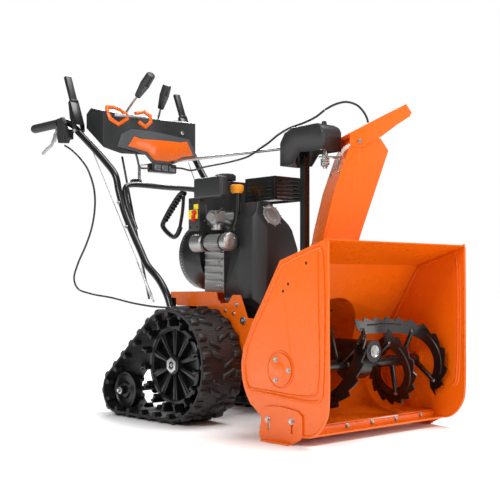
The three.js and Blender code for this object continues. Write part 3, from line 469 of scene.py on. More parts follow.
class Shape:
    """A mesh being shaped in design millimetres from bmesh operators."""

    def __init__(self) -> None:
        """Starts an empty mesh."""
        self.bm = bmesh.new()

    def round_edges(self, verts: Iterable[bmesh.types.BMVert], width: float, segments: int = 2) -> None:
        """Bevels the sharp edges among some vertices.

        Args:
            verts: the vertices whose shared edges may be bevelled.
            width: the bevel's width, or 0 for none.
            segments: faces across the rounding.
        """
        chosen = set(verts)
        self.bm.normal_update()
        edges = [
            e
            for e in self.bm.edges
            if e.verts[0] in chosen
            and e.verts[1] in chosen
            and len(e.link_faces) == 2
            and e.calc_face_angle(0.0) > math.radians(28)
        ]
        if edges and width > 0:
            bmesh.ops.bevel(
                self.bm,
                geom=edges,
                offset=width,
                offset_type="OFFSET",
                affect="EDGES",
                segments=segments,
                profile=0.5,
                material=-1,
                clamp_overlap=True,
            )

    def box(self, low: Point, high: Point, bevel: float = 0.0, segments: int = 2) -> "Shape":
        """Adds a box between two corners, with its edges rounded.

        Args:
            low: the corner with the smaller coordinates.
            high: the opposite corner.
            bevel: the width of the rounding, or 0.
            segments: faces across the rounding.

        Returns:
            The shape.
        """
        a, b = Vector(low), Vector(high)
        size = b - a
        place = Matrix.Translation((a + b) / 2) @ Matrix.Diagonal((*size, 1.0))
        made = bmesh.ops.create_cube(self.bm, size=1.0, matrix=place)
        self.round_edges(made["verts"], bevel, segments)
        return self

    def rod(
        self,
        start: Point,
        end: Point,
        radius: float,
        end_radius: float | None = None,
        sides: int = 24,
        bevel: float = 0.0,
        segments: int = 2,
    ) -> "Shape":
        """Adds a round rod or cone between two points.

        Args:
            start: the middle of the first end.
            end: the middle of the other end.
            radius: the radius at the first end.
            end_radius: the radius at the other end, if it differs.
            sides: faces round the rod.
            bevel: the width of the rounding of its ends, or 0.
            segments: faces across the rounding.

        Returns:
            The shape.
        """
        a, b = Vector(start), Vector(end)
        made = bmesh.ops.create_cone(
            self.bm,
            cap_ends=True,
            cap_tris=False,
            segments=sides,
            radius1=radius,
            radius2=radius if end_radius is None else end_radius,
            depth=(b - a).length,
            matrix=facing(b - a, (a + b) / 2),
        )
        self.round_edges(made["verts"], bevel, segments)
        return self

    def spin(self, profile: Sequence[Point], centre: Point, axis: Point, steps: int = 40) -> "Shape":
        """Turns a profile a full turn about an axis.

        Args:
            profile: (radius, height) points.
            centre: where height 0 lies on the axis.
            axis: the way that height grows.
            steps: faces round the axis.

        Returns:
            The shape.
        """
        place = facing(Vector(axis), Vector(centre))
        verts = [self.bm.verts.new(place @ Vector((r, 0, h))) for r, h in profile]
        edges = [self.bm.edges.new(pair) for pair in zip(verts, verts[1:])]
        bmesh.ops.spin(
            self.bm,
            geom=[*verts, *edges],
            cent=Vector(centre),
            axis=Vector(axis).normalized(),
            angle=2 * math.pi,
            steps=steps,
            use_merge=True,
        )
        return self

    def prism(
        self,
        outline: Sequence[Point],
        plane: Plane,
        low: float,
        high: float,
        bevel: float = 0.0,
        segments: int = 2,
    ) -> "Shape":
        """Extrudes an outline between two depths, with its edges rounded.

        Args:
            outline: points on the plane's two axes.
            plane: the plane it is drawn on.
            low: the depth it starts from.
            high: the depth it reaches.
            bevel: the width of the rounding, or 0.
            segments: faces across the rounding.

        Returns:
            The shape.
        """
        first, second, depth = plane.value
        verts = []
        for a, b in outline:
            place = [0.0, 0.0, 0.0]
            place[first], place[second], place[depth] = a, b, low
            verts.append(self.bm.verts.new(place))
        face = self.bm.faces.new(verts)
        made = bmesh.ops.extrude_face_region(self.bm, geom=[face], use_keep_orig=True)
        moved = [v for v in made["geom"] if isinstance(v, bmesh.types.BMVert)]
        shift = [0.0, 0.0, 0.0]
        shift[depth] = high - low
        bmesh.ops.translate(self.bm, verts=moved, vec=shift)
        self.round_edges([*verts, *moved], bevel, segments)
        return self

    def bolt(self, seat: Point, out: Point, size: float = 6.0, washer: bool = True) -> "Shape":
        """Adds a hex head that stands on a seat and points out of it.

        Args:
            seat: the middle of its foot.
            out: the way it points.
            size: the size that its height and width follow.
            washer: whether it has a flange.

        Returns:
            The shape.
        """
        base, way = Vector(seat), Vector(out).normalized()
        if washer:
            self.rod(base, base + way * size * 0.22, size * 1.15, sides=18, bevel=size * 0.06, segments=1)
        head = base + way * size * 0.2
        self.rod(head, head + way * size * 0.7, size * 0.78, sides=6, bevel=size * 0.09, segments=1)
        return self

    def tube(
        self,
        points: Sequence[Point],
        radius: float,
        per_span: int = 8,
        sides: int = 16,
        straight: bool = False,
    ) -> "Shape":
        """Sweeps a round section along points, with its ends closed.

        Args:
            points: the points that its middle passes.
            radius: the section's radius.
            per_span: samples between two neighbouring points.
            sides: faces round the section.
            straight: whether it runs straight between the points.

        Returns:
            The shape.
        """
        way = [Vector(p) for p in points] if straight else smooth_path(points, per_span)
        curve = bpy.data.curves.new("sweep", "CURVE")
        curve.dimensions = "3D"
        curve.bevel_depth = radius
        curve.bevel_resolution = max(1, sides // 4 - 1)
        curve.use_fill_caps = True
        spline = curve.splines.new("POLY")
        spline.points.add(len(way) - 1)
        for place, point in zip(way, spline.points):
            point.co = (*place, 1.0)
        holder = bpy.data.objects.new("sweep", curve)
        mesh = bpy.data.meshes.new_from_object(holder)
        self.bm.from_mesh(mesh)
        bpy.data.objects.remove(holder)
        bpy.data.curves.remove(curve)
        bpy.data.meshes.remove(mesh)
        return self

    def join(self, part: "Shape") -> "Shape":
        """Adds another shape's mesh, and ends that shape.

        Args:
            part: the shape to take in.

        Returns:
            This shape.
        """
        mesh = bpy.data.meshes.new("part")
        part.bm.to_mesh(mesh)
        part.bm.free()
        self.bm.from_mesh(mesh)
        bpy.data.meshes.remove(mesh)
        return self

    def apply(self, matrix: Matrix) -> "Shape":
        """Moves or turns everything made so far."""
        bmesh.ops.transform(self.bm, matrix=matrix, verts=self.bm.verts)
        return self

    def slice(self, point: Point, normal: Point, fill: bool) -> "Shape":
        """Cuts away what lies on the normal's side of a plane.

        Args:
            point: a point on the plane.
            normal: the way the plane faces.
            fill: whether the cut is closed.

        Returns:
            The shape.
        """
        made = bmesh.ops.bisect_plane(
            self.bm,
            geom=[*self.bm.verts, *self.bm.edges, *self.bm.faces],
            dist=1e-4,
            plane_co=Vector(point),
            plane_no=Vector(normal).normalized(),
            clear_outer=True,
        )
        if fill:
            edges = [e for e in made["geom_cut"] if isinstance(e, bmesh.types.BMEdge)]
            bmesh.ops.holes_fill(self.bm, edges=edges, sides=0)
        return self

    def open_faces(self, test: Callable[[bmesh.types.BMFace], bool]) -> "Shape":
        """Deletes the faces that pass a test.

        Args:
            test: says whether a face goes.

        Returns:
            The shape.
        """
        self.bm.normal_update()
        chosen = [f for f in self.bm.faces if test(f)]
        bmesh.ops.delete(self.bm, geom=chosen, context="FACES")
        return self

    def piece(self, name: str, body: Body | str, finish: Finish, wall: float = 0.0) -> bpy.types.Object:
        """Finishes the shape as an object that rides on a body.

        Args:
            name: the piece's name.
            body: the body it moves with.
            finish: what it is made of.
            wall: thickness in millimetres given inwards to an open shell, or 0.

        Returns:
            The object, in metres in the row frame.
        """
        bmesh.ops.remove_doubles(self.bm, verts=self.bm.verts, dist=0.002)
        bmesh.ops.recalc_face_normals(self.bm, faces=self.bm.faces)
        bmesh.ops.transform(self.bm, matrix=TO_ROW, verts=self.bm.verts)
        mesh = bpy.data.meshes.new(name)
        self.bm.to_mesh(mesh)
        self.bm.free()
        made = bpy.data.objects.new(name, mesh)
        bpy.context.scene.collection.objects.link(made)
        if wall:
            solid = made.modifiers.new("wall", "SOLIDIFY")
            solid.thickness = wall / 1000
            solid.offset = -1
        dress(made, finish)
        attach(made, body.value if isinstance(body, Body) else body)
        log.info("%s: %d faces", name, len(mesh.polygons))
        return made


def dress(made: bpy.types.Object, finish: Finish) -> None:
    """Gives a piece its finish and smooth shading between its sharp edges.

    Args:
        made: the piece.
        finish: what it is made of.
    """
    made.data.materials.clear()
    made.data.materials.append(finish.material())
    made.data.shade_smooth()
    made.data.set_sharp_from_angle(angle=SMOOTH_ANGLE)


def refined(node: str, finish: Finish, bevel: float = 0.8, segments: int = 2) -> bpy.types.Object:
    """Stands a cleaned copy with rounded edges in for a CAD node.

    Args:
        node: the CAD node's name.
        finish: what it is made of.
        bevel: the edges' radius in millimetres.
        segments: faces across the rounding.

    Returns:
        The copy, named after the node.
    """
    source = frame["nodes"][node]
    bm = bmesh.new()
    bm.from_mesh(source.data)
    bmesh.ops.remove_doubles(bm, verts=bm.verts, dist=2e-6)
    bmesh.ops.dissolve_limit(bm, angle_limit=math.radians(0.6), verts=bm.verts, edges=bm.edges)
    mesh = bpy.data.meshes.new(node + "_skin")
    bm.to_mesh(mesh)
    bm.free()
    made = bpy.data.objects.new(node + "_skin", mesh)
    bpy.context.scene.collection.objects.link(made)
    dress(made, finish)
    if bevel > 0:
        edge = made.modifiers.new("edges", "BEVEL")
        edge.width = bevel / 1000
        edge.segments = segments
        edge.limit_method = "ANGLE"
        edge.angle_limit = SMOOTH_ANGLE
        edge.use_clamp_overlap = True
        edge.harden_normals = True
    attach(made, source["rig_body"])
    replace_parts(made, node)
    log.info("%s: %d faces", made.name, len(mesh.polygons))
    return made


def mirrored(points: Sequence[Point], side: Side) -> list[tuple[float, float, float]]:
    """Gives points that are stated for the operator's right on either side."""
    return [(-x * side.value, y, z) for x, y, z in points]


# ---------------------------------------------------------------- sub-assemblies


@dataclass
class AugerHousing:
    """The sheet steel housing with its beads, bearings, scraper and skid shoes."""

    half: float = 308.0
    bearing: tuple[float, float] = (183.0, 206.0)
    emboss_radius: float = 52.0
    bead: float = 4.4
    ring_bead: float = 2.2
    inner_bead: float = 3.0
    fold_bead: float = 2.4
    hem: float = 4.2
    washer_stand: float = 4.0
    shoe_bolt_stand: float = 6.3
    shoe_bolts: tuple[tuple[float, float], ...] = ((228.0, 62.0), (133.0, 66.0))

    def beads(self, side: Side) -> None:
        """Raises the pressed beads of one side plate.

        Args:
            side: the operator's right or left.
        """
        shape = Shape()
        x = self.half + 0.2
        inner = [(28, 520), (28, 150), (40, 134), (300, 134)]
        outline = [
            (30, 545), (170, 500), (182, 490), (236, 405), (322, 262), (332, 205), (318, 150),
            (300, 138),
        ]
        front = [(30, 545), (22, 530), (22, 150), (28, 136), (40, 128), (300, 138)]
        shape.tube(mirrored([(-x, y, z) for y, z in outline], side), self.bead, 6, 12)
        shape.tube(mirrored([(-x, y, z) for y, z in front], side), self.bead, 6, 12)
        shape.tube(mirrored([(-x, y + 13, z + 10) for y, z in inner], side), self.bead * 0.8, 6, 12)
        ring = [(-x, *p) for p in arc(self.bearing, self.emboss_radius, 0, 360, 40)]
        shape.tube(mirrored(ring, side), self.ring_bead, sides=12, straight=True)
        face = self.half - 3.2
        shape.tube(mirrored([(-face, y, z) for y, z in outline[:5]], side), self.inner_bead, 6, 12)
        fold = [(-face, y + 14, z - 8) for y, z in outline[1:5]]
        shape.tube(mirrored(fold, side), self.fold_bead, 6, 12)
        shape.tube(mirrored([(-face, y + 8, z) for y, z in front[:5]], side), self.inner_bead, 6, 12)
        shape.piece(f"side_plate_beads_{side.word}", Body.CHASSIS, ORANGE)

    def flanges(self, side: Side) -> None:
        """Rolls a hem along the front edge of one side plate.

        Args:
            side: the operator's right or left.
        """
        x = self.half * side.value
        shape = Shape()
        edge = [(x, 2, 560), (x, 0.5, 330), (x, 0.5, 128), (x, 6, 90), (x, 30, 52), (x, 62, 32), (x, 95, 28)]
        shape.tube(edge, self.hem, 8, 12)
        shape.piece(f"side_plate_hem_{side.word}", Body.CHASSIS, ORANGE)

    def bolts(self, side: Side) -> None:
        """Fits the bolts of one side plate, black discs painted as the shade seen in its holes, and its
        bearing cap.

        Args:
            side: the operator's right or left.
        """
        shape = Shape()
        way = (side.value, 0, 0)
        face = (self.half + self.washer_stand) * side.value
        for y, z in ((199, 234), (147, 206), (199, 175)):
            shape.bolt((face, y, z), way, 6.5)
        for y, z in self.shoe_bolts:
            shape.bolt(((self.half + self.shoe_bolt_stand) * side.value, y, z), way, 8.0)
        shape.piece(f"side_plate_bolts_{side.word}", Body.CHASSIS, ZINC_STEEL)
        # Black discs at three holes are painted shade: they stand for the dark seen through each hole.
        holes = Shape()
        for y, z in ((153, 446), (173, 426), (83, 503)):
            start, end = ((self.half + reach) * side.value for reach in (-0.5, 0.5))
            holes.rod((start, y, z), (end, y, z), 4.2, sides=16)
        holes.piece(f"side_plate_holes_{side.word}", Body.CHASSIS, BLACK_COAT)
        y, z = self.bearing
        start, end = ((self.half + reach) * side.value for reach in (3.8, 5))
        cap = Shape().rod((start, y, z), (end, y, z), 20, sides=32, bevel=0.8)
        cap.piece(f"bearing_cap_{side.word}", Body.CHASSIS, ORANGE)

    def inside(self) -> None:
        """Fits the bolts that hold the scraper.
        """
        shape = Shape()
        for x in (-230, -110, 0, 110, 230):
            shape.bolt((x, 111.7, 38), (0, -1, 0), 6.0)
        shape.piece("scraper_bolts", Body.CHASSIS, ZINC_STEEL)

    def build(self) -> None:
        """Builds the whole housing."""
        refined("auger_housing", ORANGE, 1.0)
        refined("scraper_bar", ORANGE, 1.0)
        for side in Side:
            self.beads(side)
            self.flanges(side)
            self.bolts(side)
            refined(f"skid_shoe_{side.word}", ORANGE, 1.6)
        self.inside()


@dataclass
class Auger:
    """The two serrated rakes on the cross shaft, the gearcase and the impeller."""

    centre: tuple[float, float] = (183.0, 206.0)
    inner: float = 88.0
    tip: float = 139.0
    notch: float = 13.0
    thickness: float = 4.2
    middle: float = 116.0
    steps_per_tooth: int = 6
    end_narrowing: float = 20.0
    sleeve: float = 18.0
    rib_radius: float = 115.0
    arm_foot: float = 8.0
    arm_head: float = 106.0
    bolt_radius: float = 103.0
    bolt_circle: float = 38.0
    gearcase_face: float = 34.2
    arms: tuple[float, ...] = (0.06, 0.5, 0.94)
    ribbons: tuple[tuple[int, tuple[tuple[float, float], ...]], ...] = (
        (11, ((55, 70), (100, 80), (150, 92), (200, 105), (245, 128), (270, 160), (283, 200), (288, 232))),
        (15, ((55, 130), (95, 160), (137, 200), (165, 240), (187, 280), (210, 325), (245, 362), (286, 400))),
    )

    def place(self, across: float, degrees: float, radius: float, side: Side) -> Vector:
        """Gives a place on the auger.

        Args:
            across: distance along the shaft from the middle.
            degrees: the angle about the shaft.
            radius: the distance from the shaft's axis.
            side: the operator's right or left.

        Returns:
            The place.
        """
        turn = math.radians(degrees)
        y, z = self.centre
        return Vector((across * side.value, y + radius * math.cos(turn), z + radius * math.sin(turn)))

    def way(self, table: Sequence[tuple[float, float]]) -> list[Vector]:
        """Gives the smooth run of a ribbon as (distance, degrees) points."""
        return smooth_path([(x, a, 0.0) for x, a in table], 16)

    def ribbon(self, shape: Shape, teeth: int, way: Sequence[Vector], side: Side) -> None:
        """Winds one ratchet-toothed strip, one section joined to the next.

        Args:
            shape: the shape to add to.
            teeth: how many teeth the strip has.
            way: its run as (distance, degrees) points.
            side: the operator's right or left.
        """
        steps = teeth * self.steps_per_tooth
        last = None
        first = None
        for step in range(steps + 1):
            share = step / steps * (len(way) - 1)
            low = min(int(share), len(way) - 2)
            at = way[low].lerp(way[low + 1], share - low)
            ahead = (way[low + 1] - way[low]).normalized()
            phase = (step % self.steps_per_tooth) / (self.steps_per_tooth - 1)
            tip = self.tip - self.notch * phase
            pinch = max(0.0, 1 - min(step, steps - step) / 3)
            inner = self.inner + pinch * self.end_narrowing
            ring = []
            along = Vector((ahead.x, math.radians(ahead.y) * self.middle, 0)).normalized()
            for radius, half in ((inner, -0.5), (tip, -0.5), (tip, 0.5), (inner, 0.5)):
                shift = half * self.thickness
                across = at.x - along.y * shift
                degrees = at.y + math.degrees(along.x * shift / self.middle)
                ring.append(shape.bm.verts.new(self.place(across, degrees, radius, side)))
            if last:
                for k in range(4):
                    shape.bm.faces.new((last[k], last[(k + 1) % 4], ring[(k + 1) % 4], ring[k]))
            else:
                first = ring
            last = ring
        shape.bm.faces.new(first)
        shape.bm.faces.new(last)

    def rake(self, side: Side) -> None:
        """Builds one rake: sleeve, two ribbons, their arms, ribs and bolts.

        Args:
            side: the operator's right or left.
        """
        shape = Shape()
        ribs = Shape()
        bolts = Shape()
        y, z = self.centre
        shape.rod((46 * side.value, y, z), (294 * side.value, y, z), self.sleeve, sides=28, bevel=1.5)
        for teeth, table in self.ribbons:
            way = self.way(table)
            self.ribbon(shape, teeth, way, side)
            count = len(way) - 1
            for low, high in ((0.12, 0.42), (0.58, 0.88)):
                run = way[int(low * count) : int(high * count)]
                line = [self.place(p.x - 2.4, p.y, self.rib_radius, side) for p in run]
                ribs.tube(line, 3.2, sides=8, straight=True)
            for share in self.arms:
                at = way[int(share * count)]
                foot = self.place(at.x, at.y, self.arm_foot, side)
                head = self.place(at.x, at.y, self.arm_head, side)
                shape.rod(foot, head, 9, 7, sides=12, bevel=1.0)
                bolts.bolt(self.place(at.x - 3, at.y, self.bolt_radius, side), (-side.value, 0, 0), 5.5)
        made = shape.piece(f"rake_{side.word}_skin", Body.AUGER, BLACK_COAT)
        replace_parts(made, f"auger_rake_{side.word}")
        ribs.piece(f"rake_ribs_{side.word}", Body.AUGER, BLACK_COAT)
        bolts.piece(f"rake_bolts_{side.word}", Body.AUGER, ZINC_STEEL)

    def build(self) -> None:
        """Builds the auger, the gearcase and the impeller."""
        refined("auger_shaft", ZINC_STEEL, 0.6)
        for side in Side:
            self.rake(side)
        refined("auger_gearcase", BLACK_COAT, 3.0, 3)
        cap = Shape()
        profile = [(0, 5), (9, 5), (10, 2), (14, 2), (16, 4), (18, 4), (19, 2), (19, 0), (0, 0)]
        cap.spin(profile, (0, 103.7, 247), (0, -1, 0))
        cap.piece("gearcase_cap", Body.CHASSIS, ZINC_STEEL)
        bolts = Shape()
        for angle in range(0, 360, 60):
            turn = math.radians(angle)
            y = self.centre[0] + self.bolt_circle * math.cos(turn)
            z = self.centre[1] + self.bolt_circle * math.sin(turn)
            bolts.bolt((-self.gearcase_face, y, z), (-1, 0, 0), 4.5)
            bolts.bolt((self.gearcase_face, y, z), (1, 0, 0), 4.5)
        bolts.piece("gearcase_bolts", Body.CHASSIS, DARK_STEEL)
        refined("impeller", BLACK_COAT, 0.8)
        refined("impeller_shaft", ZINC_STEEL, 0.6)
        refined("impeller_pulley", CAST_ALUMINIUM, 0.6)
        refined("engine_pulley", ZINC_STEEL, 0.6)
        refined("auger_belt", CABLE_SHEATH, 0.8)


@dataclass
class Chute:
    """The turning chute with its deflector, and the geared head that turns it."""

    axis_y: float = 302.0
    aim: float = 58.0
    pivot: tuple[float, float] = (214.0, 880.0)
    half: float = 71.0
    cap_half: float = 74.2
    head_half: float = 44.0
    edge: tuple[tuple[float, float], ...] = ((217, 575), (209, 602), (122, 855), (147, 892))

    def aimed(self) -> Matrix:
        """Gives the turn of the chute from straight ahead to where it is aimed."""
        axis = Matrix.Translation((0, self.axis_y, 0))
        return axis @ Matrix.Rotation(math.radians(self.aim), 4, "Z") @ axis.inverted()

    def chute(self) -> None:
        """Dresses the chute and adds its rolled rims and its fixings."""
        refined("chute", ORANGE, 1.0)
        for side in Side:
            x = (self.half - 2.4) * side.value
            rim = Shape()
            rim.tube([(x, y - 0.6, z) for y, z in self.edge], 2.0, sides=12, straight=True)
            rim.apply(self.aimed()).piece(f"chute_rim_{side.word}", Body.CHUTE, ORANGE)
        refined("chute_base_ring", BLACK_COAT, 1.0)
        bolts = Shape()
        for x in (-46, 46):
            bolts.bolt((x, 270.6, 790), (0, 0.944, 0.331), 5.5)
        for side in Side:
            bolts.bolt(((self.half + 8.2) * side.value, *self.pivot), (side.value, 0, 0), 5.5)
        bolts.apply(self.aimed()).piece("chute_bolts", Body.CHUTE, ZINC_STEEL)

    def deflector(self) -> None:
        """Dresses the deflector and rolls a hem along its front edge."""
        refined("deflector", ORANGE, 1.0)
        hem = Shape()
        half = self.cap_half - 1.2
        hem.tube([(-half, 65, 998.5), (half, 65, 998.5)], 2.2, sides=12, straight=True)
        hem.apply(self.aimed()).piece("deflector_hem", Body.DEFLECTOR, ORANGE)

    def head(self) -> None:
        """Moulds the cover of the geared head and dresses what stands under it."""
        outline = [
            (462, 823), (462, 896), (440, 929), (408, 941), (300, 942), (278, 932), (270, 916),
            (270, 858), (369, 858), (400, 823),
        ]
        shape = Shape()
        shape.prism(outline, Plane.YZ, -self.head_half, self.head_half)
        shape.open_faces(lambda f: f.normal.z < -0.6)
        shape.round_edges(shape.bm.verts, 8.0, 4)
        made = shape.piece("gearhead_cover_skin", Body.CHASSIS, DARK_ABS, wall=3.0)
        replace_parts(made, "gearhead_cover")
        trim = Shape()
        for x in (-30, 30):
            trim.bolt((x, 424, 934.6), (0, 0.35, 0.94), 4.5)
        trim.rod((0, 306, 940), (0, 306, 952), 9, 7, sides=20, bevel=1.2)
        trim.rod((0, 372, 940), (0, 372, 947), 6, sides=20, bevel=1.2)
        trim.piece("gearhead_fixings", Body.CHASSIS, BLACK_NYLON)
        refined("chute_post", BLACK_COAT, 1.2)
        refined("chute_arm", ZINC_STEEL, 0.6)
        spring = Shape()
        coils = []
        for step in range(41):
            turn = step / 8 * math.tau
            coils.append((12.5 * math.cos(turn), self.axis_y + 12.5 * math.sin(turn), 813 + 22 * step / 40))
        spring.tube(coils, 1.9, sides=8, straight=True)
        spring.bolt((0, self.axis_y, 812), (0, 0, -1), 9.0)
        spring.piece("chute_arm_spring", Body.CHUTE, ZINC_STEEL)

    def build(self) -> None:
        """Builds the chute, the deflector and the head."""
        self.chute()
        self.deflector()
        self.head()


@dataclass
class Frame:
    """The box frame between the housing and the tracks, the axle housing and the belt cover."""

    half: float = 151.0

    def fixings(self, side: Side) -> None:
        """Fits one side's bolts and its lever pivot.

        Args:
            side: the operator's right or left.
        """
        face = (self.half + 0.2) * side.value
        shape = Shape()
        for y, z in ((545, 380), (560, 352), (470, 300), (470, 180), (600, 360)):
            shape.bolt((face, y, z), (side.value, 0, 0), 6.0)
        shape.rod((face, 512, 330), (face + 5 * side.value, 512, 330), 13, sides=24, bevel=1.0)
        shape.bolt((face + 5 * side.value, 512, 330), (side.value, 0, 0), 6.5, False)
        shape.piece(f"frame_bolts_{side.word}", Body.CHASSIS, ZINC_STEEL)

    def belt_cover(self) -> None:
        """Moulds the belt cover with its chamfered near corner, open behind and below."""
        outline = [(-112, 400), (-112, 660), (-82, 711), (-36, 711)]
        outline += [(28, 640), (62, 560), (62, 345), (-60, 345)]
        shape = Shape()
        shape.prism(outline, Plane.XZ, 482, 652)
        shape.slice((-112, 515, 0), (-33, -33, 0), True)
        shape.slice((0, 482, 621), (0, -90, 38), True)
        shape.open_faces(lambda f: f.normal.z < -0.9 or f.normal.y > 0.9)
        shape.slice((0, 573, 720), (0, 290, 73), False)
        shape.round_edges(shape.bm.verts, 2.6, 2)
        made = shape.piece("belt_cover_skin", Body.CHASSIS, DARK_ABS, wall=3.0)
        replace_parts(made, "belt_cover")
        seat, out = Vector((-38, 501.4, 668)), Vector((0, -90, 38)).normalized()
        badge = Shape()
        badge.spin([(0, 3), (19, 3), (21, 1.4), (27, 1.4), (29, 3), (35, 3), (36, 0), (0, 0)], seat, out, 36)
        for step in range(8):
            turn = math.tau * step / 8
            across = Vector((math.cos(turn), 0, 0)) + out.cross(Vector((1, 0, 0))) * math.sin(turn)
            badge.rod(seat + across * 33 + out * 1.4, seat + across * 41 + out * 1.4, 1.6, sides=8)
        badge.piece("belt_cover_badge", Body.CHASSIS, SILVER_PRINT)
        bolts = Shape()
        for x, z in ((-30, 480), (42, 440)):
            bolts.bolt((x, 481.8, z), (0, -1, 0), 5.5)
        bolts.piece("belt_cover_bolts", Body.CHASSIS, ZINC_STEEL)

    def build(self) -> None:
        """Builds the frame and the belt cover."""
        refined("engine_frame", ORANGE, 1.0)
        refined("axle_housing", BLACK_COAT, 2.0)
        for side in Side:
            self.fixings(side)
        self.belt_cover()


@dataclass
class Engine:
    """The engine with its starter, carburettor, covers, tank, caps and muffler."""

    crank_z: float = 546.0
    starter_radius: float = 26.0
    starter_ribs: int = 28
    cover_ribs: int = 12
    rim_studs: int = 26
    fuel_cap_ribs: int = 24
    oil_cap_ribs: int = 18

    def block(self) -> None:
        """Dresses the block and adds cooling fins and cover bolts."""
        refined("engine_block", CAST_ALUMINIUM, 1.5)
        fins = Shape()
        for row in range(7):
            z = 602 + row * 11.5
            fins.box((-34, 686, z), (96, 761, z + 3.5), 0.8)
        fins.piece("cylinder_fins", Body.CHASSIS, CAST_ALUMINIUM)
        bolts = Shape()
        for y, z in ((680, 440), (744, 440), (680, 520), (744, 585)):
            bolts.bolt((-104.2, y + 7, z), (-1, 0, 0), 6.0)
        bolts.piece("block_bolts", Body.CHASSIS, ZINC_STEEL)
        sleeve = Shape()
        sleeve.tube([(-98, 603, 742), (-98, 603, 694), (-98, 605, 655), (-98, 626, 618)], 11.5, 8, 20)
        sleeve.piece("oil_filler_sleeve", Body.CHASSIS, BLACK_NYLON)

    def starter(self) -> None:
        """Turns the starter motor: a ribbed body between two end caps, and a round front cover."""
        x, z = -150.0, 582.0
        shape = Shape()
        front_cover = [(0, 19), (9, 20), (26, 20), (29, 18), (30, 15)]
        front_cover += [(30, -4), (27, -4), (27, -20), (0, -20)]
        shape.spin(front_cover, (x, 592, z), (0, -1, 0), 40)
        shape.spin([(0, 106), (26, 106), (26, 0), (0, 0)], (x, 714, z), (0, -1, 0), 40)
        for step in range(self.starter_ribs):
            turn = math.tau * step / self.starter_ribs
            cx = x + self.starter_radius * math.cos(turn)
            cz = z + self.starter_radius * math.sin(turn)
            shape.rod((cx, 612, cz), (cx, 676, cz), 1.9, sides=6)
        shape.spin([(0, 58), (26, 58), (30, 54), (30, 4), (26, 0), (0, 0)], (x, 756, z), (0, -1, 0), 40)
        shape.box((-150, 700, 560), (-110.5, 750, 600), 3)
        made = shape.piece("starter_motor_skin", Body.CHASSIS, CAST_ALUMINIUM)
        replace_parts(made, "starter_motor")
        band = Shape()
        band.spin([(26.2, 0), (29.4, 0), (29.4, 10), (26.2, 10), (26.2, 0)], (x, 694, z), (0, -1, 0), 40)
        band.spin([(26.2, 0), (28.6, 0), (28.6, 5), (26.2, 5), (26.2, 0)], (x, 610, z), (0, -1, 0), 40)
        band.piece("starter_bands", Body.CHASSIS, BLACK_NYLON)
        bolts = Shape()
        for angle in (40, 220):
            turn = math.radians(angle)
            bolts.bolt((x + 17 * math.cos(turn), 572, z + 17 * math.sin(turn)), (0, -1, 0), 3.6)
        bolts.piece("starter_bolts", Body.CHASSIS, ZINC_STEEL)

    def blower(self) -> None:
        """Dresses the blower housing and adds the recoil cover's ribs and the rim's bright studs."""
        refined("blower_housing", BLACK_NYLON, 2.0)
        ribs = Shape()
        for step in range(self.cover_ribs):
            turn = math.tau * step / self.cover_ribs
            reach = Vector((math.sin(turn), 0, math.cos(turn)))
            hub = Vector((0, 910.4, self.crank_z))
            ribs.rod(hub + reach * 24, hub + reach * 52, 3.0, sides=8)
        ribs.piece("recoil_cover_ribs", Body.CHASSIS, BLACK_NYLON)
        studs = Shape()
        for row in range(3):
            for step in range(self.rim_studs):
                turn = math.tau * (0.55 + 0.4 * (step + row / 2) / self.rim_studs)
                reach = Vector((math.sin(turn), 0, math.cos(turn)))
                seat = Vector((0, 862 + 9 * row, self.crank_z)) + reach * 119.2
                studs.rod(seat, seat + reach * 1.4, 2.0, sides=6)
        studs.piece("blower_rim_studs", Body.CHASSIS, SILVER_PRINT)

    def handle(self) -> None:
        """Moulds the recoil handle: a closed D with a ribbed grip."""
        made = Shape()
        outline = [(866, 764), (886, 768), (994, 668), (1002, 650), (936, 606), (914, 612), (893, 640)]
        made.tube([(-102, (y - 934) * 0.93 + 934, (z - 690) * 0.93 + 690) for y, z in outline], 8.5, 6, 16)
        made.tube([(-102, 878, 752), (-102, 884, 700), (-102, 899, 642)], 6.0, 6, 12)
        piece = made.piece("recoil_handle_skin", Body.RECOIL, BLACK_NYLON)
        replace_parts(piece, "recoil_handle")
        ribs = Shape()
        for step in range(9):
            place = Vector((-102, 899, 749)).lerp(Vector((-102, 980, 674)), step / 8)
            lean = Vector((0, 2.0, -2.0))
            ribs.rod(place - lean, place + lean, 10.0, sides=16, bevel=1.0)
        ribs.piece("recoil_handle_ribs", Body.RECOIL, BLACK_NYLON)

    def covers(self) -> None:
        """Moulds the heater box, its panel with labels, knob and key, and the throttle links."""
        shape = Shape()
        shape.box((-194, 574, 724), (-160, 713, 792), 8.0, 4)
        shape.box((-188, 690, 621), (-126, 746, 730), 4.0, 3)
        made = shape.piece("carburettor_cover_skin", Body.CHASSIS, DARK_ABS)
        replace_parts(made, "carburettor_cover")
        labels = Shape()
        labels.box((-188.9, 693, 692), (-187.9, 716, 708), 0.2)
        labels.box((-188.9, 696, 660), (-187.9, 742, 690), 0.2)
        labels.piece("panel_labels", Body.CHASSIS, YELLOW_LABEL)
        knob = Shape()
        knob.rod((-188, 708, 680), (-199, 708, 680), 8.5, 7.5, sides=24, bevel=1.5)
        knob.piece("choke_knob", Body.CHASSIS, RED_ABS)
        refined("engine_key", RED_ABS, 1.0)
        screws = Shape()
        for y, z in ((736, 716), (736, 632), (697, 632)):
            screws.bolt((-188.2, y, z), (-1, 0, 0), 3.6)
        screws.tube([(-166, 600, 690), (-166, 640, 668), (-166, 668, 676), (-166, 690, 650)], 2.4, 6, 8)
        screws.tube([(-176, 668, 706), (-176, 660, 650), (-172, 640, 628)], 2.4, 6, 8)
        screws.tube([(-160, 596, 640), (-164, 640, 652), (-168, 686, 660)], 3.4, 6, 8)
        screws.piece("throttle_links", Body.CHASSIS, DARK_STEEL)

